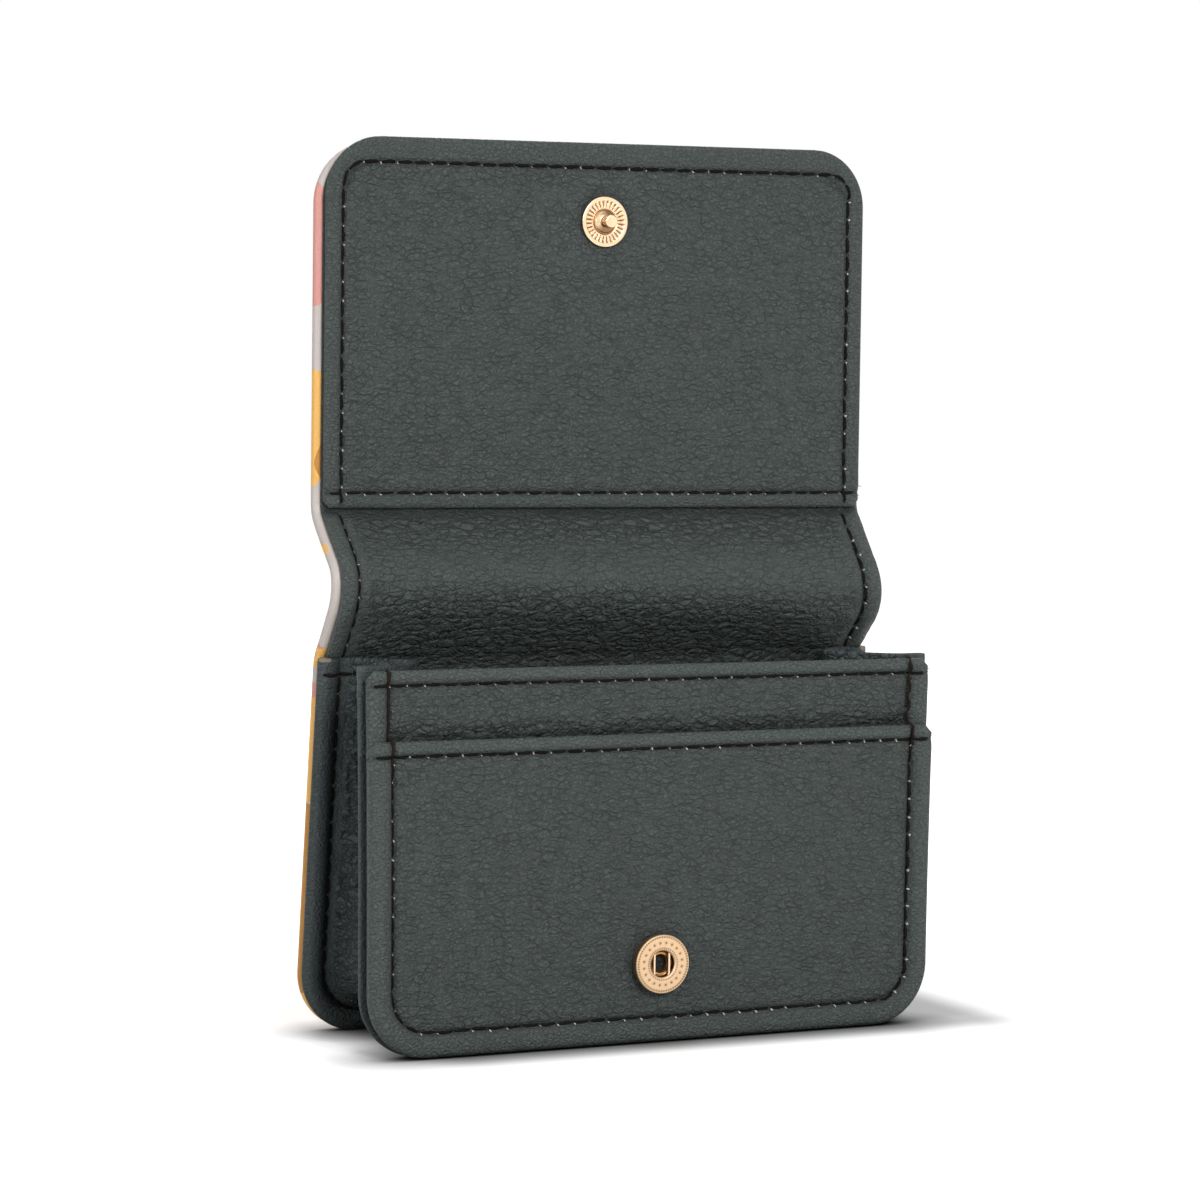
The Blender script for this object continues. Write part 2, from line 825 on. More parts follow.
class Shader:
    """Small wrapper that adds nodes to a material or world and links them."""

    def __init__(self, tree: bpy.types.NodeTree) -> None:
        """Starts with an empty tree."""
        self.tree = tree
        tree.nodes.clear()

    def node(self, kind: str, inputs: dict | None = None, **settings: object) -> bpy.types.Node:
        """Adds a node.

        Args:
            kind: Blender's name of the node type.
            inputs: Values or sockets by input name or number.
            settings: Properties of the node.

        Returns:
            The node.
        """
        made = self.tree.nodes.new(kind)
        for name, value in settings.items():
            setattr(made, name, value)
        for key, value in (inputs or {}).items():
            if isinstance(value, Socket):
                self.tree.links.new(value, made.inputs[key])
            else:
                made.inputs[key].default_value = value
        return made

    def math(self, operation: str, *values: object) -> Socket:
        """Result of a Math node."""
        return self.node("ShaderNodeMath", dict(enumerate(values)), operation=operation).outputs[0]

    def vector(self, operation: str, *values: object) -> Socket:
        """Result of a Vector Math node."""
        return self.node("ShaderNodeVectorMath", dict(enumerate(values)), operation=operation).outputs[0]

    def attribute(self, name: str, output: str = "Fac") -> Socket:
        """Value of a mesh attribute."""
        return self.node("ShaderNodeAttribute", attribute_name=name).outputs[output]

    def noise(self, place: object, scale: float, detail: float = 3.0, output: str = "Fac") -> Socket:
        """Noise at a place."""
        inputs = {"Vector": place, "Scale": scale, "Detail": detail}
        return self.node("ShaderNodeTexNoise", inputs).outputs[output]

    def cells(self, place: object, scale: float, feature: str, output: str = "Distance") -> Socket:
        """Voronoi cells at a place."""
        inputs = {"Vector": place, "Scale": scale}
        return self.node("ShaderNodeTexVoronoi", inputs, feature=feature).outputs[output]

    def remap(self, value: object, low: float, high: float, to: tuple[float, float] = (0, 1)) -> Socket:
        """Value mapped smoothly from low and high to another range."""
        inputs = {"Value": value, "From Min": low, "From Max": high, "To Min": to[0], "To Max": to[1]}
        return self.node("ShaderNodeMapRange", inputs, interpolation_type="SMOOTHSTEP").outputs["Result"]

    def mix(self, factor: object, first: object, second: object, blend: str = "MIX") -> Socket:
        """Colours mixed by a factor."""
        inputs = {0: factor, 6: first, 7: second}
        return self.node("ShaderNodeMix", inputs, data_type="RGBA", blend_type=blend).outputs[2]

    def total(self, start: object, *parts: tuple[object, float]) -> Socket:
        """Sum of a start and of values, each with its own weight."""
        for value, weight in parts:
            start = self.math("MULTIPLY_ADD", value, weight, start)
        return start

    def finish(
        self, colour: object, rough: object, bump: Sequence[object], metal: float = 0.0, specular: float = 0.5
    ) -> None:
        """Adds the surface shader and the output.

        Args:
            colour: Base colour.
            rough: Roughness.
            bump: Strength of the bump, its height in millimetres and the value that it follows.
            metal: 1 for metal.
            specular: Strength of the shine.
        """
        strength, size, height = bump
        inputs = {"Strength": strength, "Distance": size * MM, "Height": height}
        relief = self.node("ShaderNodeBump", inputs).outputs[0]
        inputs = {"Base Color": colour, "Roughness": rough, "Normal": relief, "Metallic": metal}
        surface = self.node("ShaderNodeBsdfPrincipled", {**inputs, "Specular IOR Level": specular})
        self.node("ShaderNodeOutputMaterial", {"Surface": surface.outputs[0]})


def srgb(red: float, green: float, blue: float) -> Colour:
    """Linear colour of an sRGB colour given from 0 to 255."""
    parts = [value / 255 for value in (red, green, blue)]
    linear = [p / 12.92 if p <= 0.04045 else ((p + 0.055) / 1.055) ** 2.4 for p in parts]
    return (*linear, 1.0)


# Finishes


@dataclass(frozen=True)
class Finish:
    """Surface of a piece. Each finish makes its material once."""

    name: str

    def material(self) -> bpy.types.Material:
        """The finish's material, made at its first use."""
        found = bpy.data.materials.get(self.name)
        if found is None:
            found = bpy.data.materials.new(self.name)
            found.use_nodes = True
            self.paint(Shader(found.node_tree))
        return found

    def paint(self, shader: Shader) -> None:
        """Adds the finish's nodes."""
        raise NotImplementedError


@dataclass(frozen=True)
class LeatherFinish(Finish):
    """Faux leather of a mean colour and roughness, with a pebble grain of a height in millimetres."""

    colour: Colour = srgb(76, 83, 81)
    grain: float = 0.55
    roughness: float = 0.44

    NETS = (0.27, 0.6, 0.5), (0.44, 0.82, 0.6), (1.0, 1.6, 1.2)

    def paint(self, shader: Shader) -> None:
        """Adds the finish's nodes."""
        flat = shader.attribute("flat", "Vector")
        crease = shader.attribute("crease")
        pebble = shader.cells(flat, 1.7, "SMOOTH_F1")
        fine = shader.noise(flat, 2.3, 3.0)
        crack, pillow = self.cracks(shader, flat)
        height = shader.total(0.0, (pebble, -0.5), (fine, 0.9), (pillow, 1.0), (crack, -0.8), (crease, -0.4))
        patch = shader.remap(shader.noise(flat, 0.05, 3.0), 0.3, 0.7)
        mottle, pit = shader.remap(fine, 0.2, 0.8), shader.remap(pebble, 0.15, 0.7)
        tone = shader.total(0.05, (patch, 0.15), (mottle, 0.95), (pit, -0.2))
        colour = shader.mix(tone, self.shade(0.84), self.shade(1.24))
        worn = shader.math("MULTIPLY", shader.attribute("worn"), shader.remap(fine, 0.3, 0.7, (0.3, 0.9)))
        colour = shader.mix(worn, colour, self.shade(1.5))
        dark = shader.math("MULTIPLY", crack, 0.95)
        dark = shader.math("MAXIMUM", dark, shader.math("MULTIPLY", crease, 0.85))
        colour = shader.mix(dark, colour, self.shade(0.34))
        cream = shader.mix(shader.noise(flat, 2.0, 5.0), srgb(96, 84, 74), srgb(176, 164, 150))
        raw = shader.remap(shader.total(0.0, (shader.attribute("raw"), 1.0), (fine, 0.5)), 0.7, 0.95)
        colour = shader.mix(raw, colour, cream)
        rough = shader.remap(pebble, 0.1, 0.8, (self.roughness - 0.06, self.roughness + 0.12))
        shader.finish(colour, rough, (0.9, self.grain, height), specular=0.24)

    def shade(self, share: float) -> Colour:
        """The mean colour made darker or lighter."""
        return (*(share * c for c in self.colour[:3]), 1.0)

    def cracks(self, shader: Shader, flat: object) -> tuple[Socket, Socket]:
        """Fine cracks, 1 in a crack, and the soft pillows between them where the leather is creased."""
        wander = shader.vector("MULTIPLY", shader.noise(flat, 0.8, 2.0, "Color"), (1.1, 1.1, 1.1))
        place = shader.vector("ADD", flat, wander)
        marked = shader.attribute("creased")
        creased = shader.math("MAXIMUM", marked, 0.0)
        nets = (shader.vector("MULTIPLY", place, scale) for scale in self.NETS)
        folds, wide, small = (shader.cells(net, 1.0, "DISTANCE_TO_EDGE") for net in nets)
        strength = shader.remap(shader.noise(flat, 0.28, 2.0), 0.3, 0.65, (0.3, 0.65))
        strength = shader.math("MAXIMUM", shader.total(strength, (marked, 0.6)), 0.0)
        pillow = shader.math("MULTIPLY", shader.remap(folds, 0.0, 0.3), creased)
        folds = shader.math("MULTIPLY", shader.remap(folds, 0.0, 0.07, (1.0, 0.0)), creased)
        wide = shader.math("MULTIPLY", shader.remap(wide, 0.0, 0.1, (1.0, 0.0)), strength)
        small = shader.math("MULTIPLY", shader.remap(small, 0.0, 0.15, (1.0, 0.0)), 0.33)
        crack = shader.math("MAXIMUM", shader.math("MAXIMUM", wide, small), folds)
        return shader.math("MINIMUM", crack, 1.0), shader.math("MULTIPLY", pillow, 1.1)


@dataclass(frozen=True)
class PrintFinish(Finish):
    """Faux leather printed with colour blocks and scattered dots, both spaced in millimetres."""

    block: float = 21.0
    dot: float = 13.0

    YELLOW, PINK, SLATE = srgb(250, 193, 104), srgb(226, 160, 150), srgb(84, 92, 96)
    MUSTARD, PALE = srgb(200, 140, 60), srgb(208, 198, 192)
    BLOCKS = YELLOW, PINK, SLATE, MUSTARD, PALE
    STOPS = 0.0, 0.34, 0.55, 0.7, 0.84

    def paint(self, shader: Shader) -> None:
        """Adds the finish's nodes."""
        flat = shader.attribute("flat", "Vector")
        level = shader.vector("ADD", shader.vector("MULTIPLY", flat, (1.0, 1.0, 0.0)), (0.0, 37.0, 0.0))
        wander = shader.vector("MULTIPLY", shader.noise(level, 0.06, 2.0, "Color"), (12.0, 12.0, 12.0))
        place = shader.vector("ADD", level, wander)
        pick = shader.cells(place, 1 / self.block, "F1", "Color")
        pick = shader.node("ShaderNodeSeparateColor", {"Color": pick}).outputs[0]
        ramp = shader.node("ShaderNodeValToRGB", {"Fac": pick})
        ramp.color_ramp.interpolation = "CONSTANT"
        elements = ramp.color_ramp.elements
        while len(elements) < len(self.STOPS):
            elements.new(1.0)
        for element, position, colour in zip(elements, self.STOPS, self.BLOCKS):
            element.position, element.color = position, colour
        dots = shader.cells(level, 1 / self.dot, "F1")
        dotted = shader.remap(dots, 0.13, 0.1)
        colour = shader.mix(dotted, ramp.outputs[0], self.PALE)
        fine = shader.noise(flat, 3.0, 4.0)
        pebble = shader.cells(flat, 1.05, "SMOOTH_F1")
        shade = shader.total(0.86, (fine, 0.26))
        tint = shader.node("ShaderNodeCombineColor", {0: shade, 1: shade, 2: shade}).outputs[0]
        colour = shader.mix(1.0, colour, tint, "MULTIPLY")
        height = shader.total(0.0, (fine, 0.5), (pebble, -0.6))
        rough = shader.remap(pebble, 0.1, 0.8, (0.4, 0.55))
        shader.finish(colour, rough, (0.7, 0.07, height), specular=0.45)


@dataclass(frozen=True)
class ThreadFinish(Finish):
    """Twisted sewing thread, from the colour of its darkest stitches to that of its lightest."""

    dark: Colour = srgb(9, 8, 8)
    light: Colour = srgb(27, 24, 21)

    def paint(self, shader: Shader) -> None:
        """Adds the finish's nodes."""
        flat = shader.attribute("flat", "Vector")
        fibre = shader.noise(shader.vector("MULTIPLY", flat, (3.0, 9.0, 1.0)), 1.4, 4.0)
        shade = shader.total(0.0, (shader.attribute("shade"), 0.5), (fibre, 0.5))
        colour = shader.mix(shade, self.dark, self.light)
        rough = shader.remap(fibre, 0.3, 0.7, (0.6, 0.8))
        shader.finish(colour, rough, (0.6, 0.05, fibre), specular=0.08)


@dataclass(frozen=True)
class ClothFinish(Finish):
    """Matt base cloth or board with dark and light mottles of a size in millimetres."""

    dark: Colour
    light: Colour
    size: float = 0.4

    def paint(self, shader: Shader) -> None:
        """Adds the finish's nodes."""
        place = shader.node("ShaderNodeTexCoord").outputs["Object"]
        fibre = shader.noise(place, 1 / (self.size * MM), 4.0)
        shader.finish(shader.mix(fibre, self.dark, self.light), 0.9, (0.5, 0.05, fibre))


@dataclass(frozen=True)
class GoldFinish(Finish):
    """Bright gold plating with tarnish in its recesses and a mean roughness."""

    bright: Colour = srgb(230, 201, 166)
    tarnish: Colour = srgb(112, 72, 40)
    roughness: float = 0.24

    def paint(self, shader: Shader) -> None:
        """Adds the finish's nodes."""
        place = shader.node("ShaderNodeTexCoord").outputs["Object"]
        smudge = shader.noise(place, 900.0, 4.0)
        scratch = shader.noise(shader.vector("MULTIPLY", place, (1.0, 1.0, 6.0)), 2200.0, 2.0)
        dull = shader.math("MULTIPLY", shader.remap(smudge, 0.45, 0.75), 0.25)
        colour = shader.mix(dull, self.bright, srgb(214, 172, 124))
        colour = shader.mix(shader.attribute("tarnish"), colour, self.tarnish)
        rough = shader.remap(scratch, 0.3, 0.7, (self.roughness - 0.06, self.roughness + 0.1))
        shader.finish(colour, rough, (0.15, 0.01, scratch), metal=1.0)


LEATHER = LeatherFinish("leather_pebbled")
LINING = LeatherFinish("leather_lining", colour=srgb(74, 81, 79), grain=0.34)
GUSSET_LEATHER = LeatherFinish("leather_gusset", colour=srgb(70, 77, 77), grain=0.34)
PRINT = PrintFinish("leather_printed")
THREAD = ThreadFinish("thread_dark")
TACK_THREAD = ThreadFinish("thread_tack", dark=srgb(26, 21, 19), light=srgb(70, 58, 52))
FLECK = ClothFinish("base_cloth", dark=srgb(178, 168, 156), light=srgb(226, 220, 210))
BOARD = ClothFinish("grey_board", dark=srgb(150, 140, 122), light=srgb(196, 184, 162), size=0.8)
GOLD = GoldFinish("gold_plate")
GOLD_MATT = GoldFinish("gold_plate_matt", srgb(212, 181, 146), srgb(70, 44, 24), 0.46)
GOLD_DARK = GoldFinish("gold_inside", srgb(176, 130, 84), srgb(84, 54, 32), 0.34)


# Placing pieces on the frame


@dataclass(frozen=True)
class Bend:
    """Stretch over which a piece bends, from the body before its start to the one after its end."""

    before: Body
    after: Body
    start: tuple[float, float, float]
    end: tuple[float, float, float]

    @staticmethod
    def at_fold(before: Body, after: Body, fold: Array, reach: float) -> Bend:
        """Bend round a fold, over a height to each side of it."""
        return Bend(before, after, (0.0, 0.0, fold[1] - reach), (0.0, 0.0, fold[1] + reach))


def add_piece(
    name: str, skin: Skin, finish: Finish, slot: Slot, holder: Body | Bend,
    nodes: Sequence[str] = (), sharp: float = 60.0,
) -> bpy.types.Object:
    """Makes a piece from a skin and hangs it on the frame.

    Args:
        name: Name of the piece.
        skin: Its mesh data.
        finish: Its finish.
        slot: The record's slot of the finish.
        holder: Body it rides on, or bend it follows.
        nodes: CAD nodes that it stands for.
        sharp: Angle in degrees of a sharp edge.

    Returns:
        The new object.
    """
    mesh = bpy.data.meshes.new(name)
    mesh.from_pydata((skin.points * MM).tolist(), [], skin.faces)
    flat = mesh.attributes.new("flat", "FLOAT_VECTOR", "POINT")
    flat.data.foreach_set("vector", skin.flat.astype(np.float32).ravel())
    for mark, values in skin.marks.items():
        mesh.attributes.new(mark, "FLOAT", "POINT").data.foreach_set("value", values.astype(np.float32))
    shell = bmesh.new()
    shell.from_mesh(mesh)
    bmesh.ops.recalc_face_normals(shell, faces=shell.faces)
    shell.to_mesh(mesh)
    shell.free()
    mesh.shade_smooth()
    mesh.set_sharp_from_angle(angle=math.radians(sharp))
    mesh.materials.append(finish.material())
    piece = bpy.data.objects.new(name, mesh)
    bpy.context.scene.collection.objects.link(piece)
    if isinstance(holder, Bend):
        start, end = (tuple(c * MM for c in place) for place in (holder.start, holder.end))
        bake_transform(piece)
        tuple(start)
        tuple(end)
        where = f"{holder.before.value} to {holder.after.value}"
    else:
        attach(piece, holder.value)
        where = holder.value
    if nodes:
        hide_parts(*nodes)
    log.info("%s: %d faces on %s", name, len(mesh.polygons), where)
    return piece


def dress_node(node: str, finish: Finish) -> None:
    """Gives a CAD node that stays in view a finish."""
    mesh = frame["nodes"][node].data
    mesh.materials.clear()
    mesh.materials.append(finish.material())
    log.info("%s: CAD node with %s", node, finish.name)


def no_relief(x: Array, s: Array) -> Array:
    """Plain face."""
    return np.zeros(np.broadcast(x, s).shape)


def sew(seam: Seam, ground: Ground, name: str, holder: Body | Bend, nodes: Sequence[str]) -> None:
    """Adds a seam's stitches and the specks at its needle holes, with a word for each put into the name."""
    add_piece(name.format("stitches"), seam.stitches(ground), THREAD, Slot.THREAD, holder, nodes)
    add_piece(name.format("needle_holes"), seam.flecks(ground), FLECK, Slot.LEATHER, holder)


def u_path(half: float, ends: float, middle: float, radius: float) -> Array:
    """Line along one side, across the middle's place and back along the other side, with rounded corners."""
    return filleted([(-half, ends), (-half, middle), (half, middle), (half, ends)], (radius, radius), 0.1)


# Cover: printed outside and plain lining, each one strip from the back's foot to the flap's top


@dataclass(frozen=True)
class Stretch:
    """Stretch of the cover that bends at one fold.

    Attributes:
        name: Its name.
        start: Where it starts along the run, far off at the cover's own end.
        end: Where it ends, in the same way.
        bend: Bend at its fold.
        parts: Bodies whose CAD nodes it stands for.
    """

    name: str
    start: float
    end: float
    bend: Bend
    parts: tuple[Body, Body]

    def outline(self, inset: float, low: float, high: float) -> Outline:
        """Edge of a strip that lies inside the cover's edge, with the strip's own low and high ends."""
        start, end, radius = max(self.start, low), min(self.end, high), CORNER_RADIUS - inset
        is_open = self.start > -FAR, self.end < FAR
        return Outline(HALF_WIDTH - inset, start, end, radius, radius, *is_open)

    def nodes(self, layer: str) -> list[str]:
        """CAD nodes of a layer on this stretch."""
        return [f"{layer}_{part.value}" for part in self.parts]


@dataclass
class Cover:
    """Printed strip and lining that run from the back over the spine to the flap.

    Attributes:
        run: Line that the lining's inner face follows.
        top_drop: How far the printed strip's top lies below the facing's.
        crease: Height of the spine's wrinkles.
    """

    run: RunForm
    top_drop: float = 0.8
    crease: float = 0.09

    def __post_init__(self) -> None:
        """Works out the stretches and the seams."""
        run = self.run
        lower, upper = (run.fold_back + run.fold_spine) / 2, (run.fold_spine + run.fold_flap) / 2
        self.foot_shift = math.tan(float(run.lean[0]))
        bodies = Body.BACK, Body.SPINE_LOWER, Body.SPINE_UPPER, Body.FLAP
        folds = (FOLD_BACK, 3.0), (FOLD_SPINE, 4.0), (FOLD_FLAP, 3.0)
        ends = -FAR, lower, upper, FAR
        self.stretches = [
            Stretch(name, ends[i], ends[i + 1], Bend.at_fold(*pair, *folds[i]), pair)
            for i, (name, pair) in enumerate(zip(("back", "spine", "flap"), zip(bodies, bodies[1:])))
        ]
        self.spine_margin = Margin(seam=SEAM_MARGIN - LINING_INSET, bead=0.85, furrow=0.4, shoulder=0.1)
        self.outer_margin = Margin(bead=0.12, furrow=0.22)
        self.full = Outline(HALF_WIDTH, -0.2, run.end - self.top_drop, CORNER_RADIUS, CORNER_RADIUS)
        inner = self.full.inset(SEAM_MARGIN)
        half, low, high = inner.half, inner.low, inner.high
        corners = [(0, low), (-half, low), (-half, high), (half, high), (half, low), (0, low)]
        self.seam = Seam(filleted(corners, (CORNER_RADIUS - SEAM_MARGIN,) * 4, 0.1), seed=11)
        spine = np.array([(SEAM_HALF, run.fold_back + 0.4), (SEAM_HALF, run.fold_flap - 0.8)])
        sides = (Side.LEFT, 21), (Side.RIGHT, 22)
        self.spine_seams = {side: Seam(spine * (side.value, 1.0), seed=seed) for side, seed in sides}

    def spine_share(self, s: Array) -> Array:
        """1 on the spine, falling to 0 past its folds."""
        run = self.run
        start = ease(s, run.fold_back - 1.0, run.fold_back + 3.0)
        return start * fade(s, run.fold_flap - 2.5, run.fold_flap + 0.5)

    def creased(self, x: Array, s: Array) -> Array:
        """How strongly the spine is creased: most below the kink, less under the flap, least between them."""
        run = self.run
        inside = ease(HALF_WIDTH - np.abs(x), SEAM_MARGIN - 0.2, SEAM_MARGIN + 3.0)
        low = fade(s, run.fold_spine - 3.0, run.fold_spine + 2.0)
        high = ease(s, run.fold_spine + 4.0, run.fold_flap - 2.0)
        share = ease(s, run.fold_back - 8.0, run.fold_back - 4.0)
        share = share * fade(s, run.fold_flap - 2.5, run.fold_flap)
        return share * inside * (0.15 + 0.7 * low + 0.8 * high) - 0.7 * (1 - inside)

    def crease_depth(self, x: Array, s: Array) -> Array:
        """Dark of the fold under the flap's facing, of the needle holes and of the seams' furrows."""
        furrow = self.spine_margin.groove(HALF_WIDTH - LINING_INSET - np.abs(x)) * self.spine_share(s)
        holes = sum(seam.dents(x, s) / seam.dent for seam in self.spine_seams.values())
        corner = 0.95 * ease(s, self.run.fold_flap - 3.8, self.run.fold_flap - 0.4)
        corner = corner + 0.5 * fade(s, self.run.fold_back - 0.5, self.run.fold_back + 4.0)
        return np.clip(np.maximum(np.maximum(corner, 0.4 * furrow), holes), 0, 1)

    def lining_relief(self, x: Array, s: Array) -> Array:
        """Height of the lining's inner face."""
        edge = HALF_WIDTH - LINING_INSET - np.abs(x)
        share = self.spine_share(s)
        sewn = self.spine_margin.relief(edge)
        dents = sum(seam.dents(x, s) for seam in self.spine_seams.values())
        soft = 0.1 * ripple(x, s, 14.0, 3) * share
        return share * sewn + soft - dents + self.crease * ripple(x, s * 1.8, 4.0, 7) * self.creased(x, s)

    def outer_relief(self, x: Array, s: Array) -> Array:
        """Height of the printed face, which looks backwards."""
        return self.outer_margin.relief(self.full.distance(x, s)) - self.seam.dents(x, s)

    def build(self) -> None:
        """Makes the three stretches of both strips, and their stitches."""
        for stretch in self.stretches:
            self.lining_piece(stretch)
            self.outer_piece(stretch)
        self.stitch()

    def lining_piece(self, stretch: Stretch) -> None:
        """Makes one stretch of the lining."""
        foot = -LINING_THICKNESS / 2 * self.foot_shift
        outline = stretch.outline(LINING_INSET, foot, self.run.end - LINING_INSET)
        spacing = 0.3 if stretch.name == "spine" else 0.4
        fine = ((self.run.fold_back - 4, self.run.fold_flap + 4),)
        sheet = Sheet(
            outline, self.run, 0.0, LINING_THICKNESS, self.lining_relief, no_relief, 0.36,
            Mesh(edge=spacing, across=spacing, along=0.8, fine=fine),
            {"crease": self.crease_depth, "creased": self.creased},
        )
        name = f"lining_strip_{stretch.name}"
        piece = add_piece(name, sheet.skin(), LINING, Slot.LEATHER, stretch.bend, stretch.nodes("lining"))
        outline.size()

    def outer_piece(self, stretch: Stretch) -> None:
        """Makes one stretch of the printed strip."""
        foot = -(OUTER_DEPTH + OUTER_THICKNESS / 2) * self.foot_shift
        outline = stretch.outline(0.0, foot, self.run.end - self.top_drop)
        sheet = Sheet(
            outline, self.run, OUTER_DEPTH, OUTER_THICKNESS, no_relief, self.outer_relief, 0.9,
            Mesh(edge=0.4, across=1.2, along=0.6),
        )
        name = f"printed_strip_{stretch.name}"
        piece = add_piece(name, sheet.skin(), PRINT, Slot.PRINT, stretch.bend, stretch.nodes("outer"))
        outline.size()

    def stitch(self) -> None:
        """Sews the spine's edges inside and the whole edge outside."""
        bend = self.stretches[1].bend
        for side, seam in self.spine_seams.items():
            word = side.name.lower()
            nodes = [f"spine_lower_thread_{word}", f"spine_upper_thread_{word}"]
            sew(seam, Ground(self.run, self.lining_relief), f"spine_{{}}_{word}", bend, nodes)
        face = OUTER_DEPTH + OUTER_THICKNESS
        for stretch in self.stretches:
            outside = Ground(self.run, self.outer_relief, face, -1, (stretch.start, stretch.end))
            skin = self.seam.stitches(outside)
            add_piece(f"outside_stitches_{stretch.name}", skin, THREAD, Slot.THREAD, stretch.bend)


# Panels with a folded hem along their free edge


@dataclass(frozen=True)
class Hem:
    """Folded and sewn free edge of a panel.

    Attributes:
        edge: Where the free edge lies along the run.
        way: 1 if the panel lies above its free edge, -1 if it lies below.
        bulge: How far the fold stands out.
    """

    edge: float
    way: int
    bulge: float = 0.6

    def depth(self, s: Array) -> Array:
        """Distance from the free edge into the panel."""
        return (s - self.edge) * self.way

    def relief(self, s: Array) -> Array:
        """Height of the hem: a round roll at the edge, a furrow at the thread and a low swelling past it."""
        depth = self.depth(s)
        share = np.clip(depth / HEM_STITCH, 0, 1)
        roll = np.sqrt(1 - np.abs(2 * share - 1) ** 2.4)
        swell = 0.3 * bump(depth, HEM_STITCH + 1.8, 1.3)
        return self.bulge * (roll + swell - 0.6 * bump(depth, HEM_STITCH, 0.45))

    def groove(self, s: Array) -> Array:
        """1 in the furrow, falling to 0 beside it."""
        return bump(self.depth(s), HEM_STITCH, 0.36)

    def path(self, half: float) -> Array:
        """Line of the hem's stitches."""
        s = self.edge + self.way * HEM_STITCH
        return np.array([(-half, s), (half, s)])


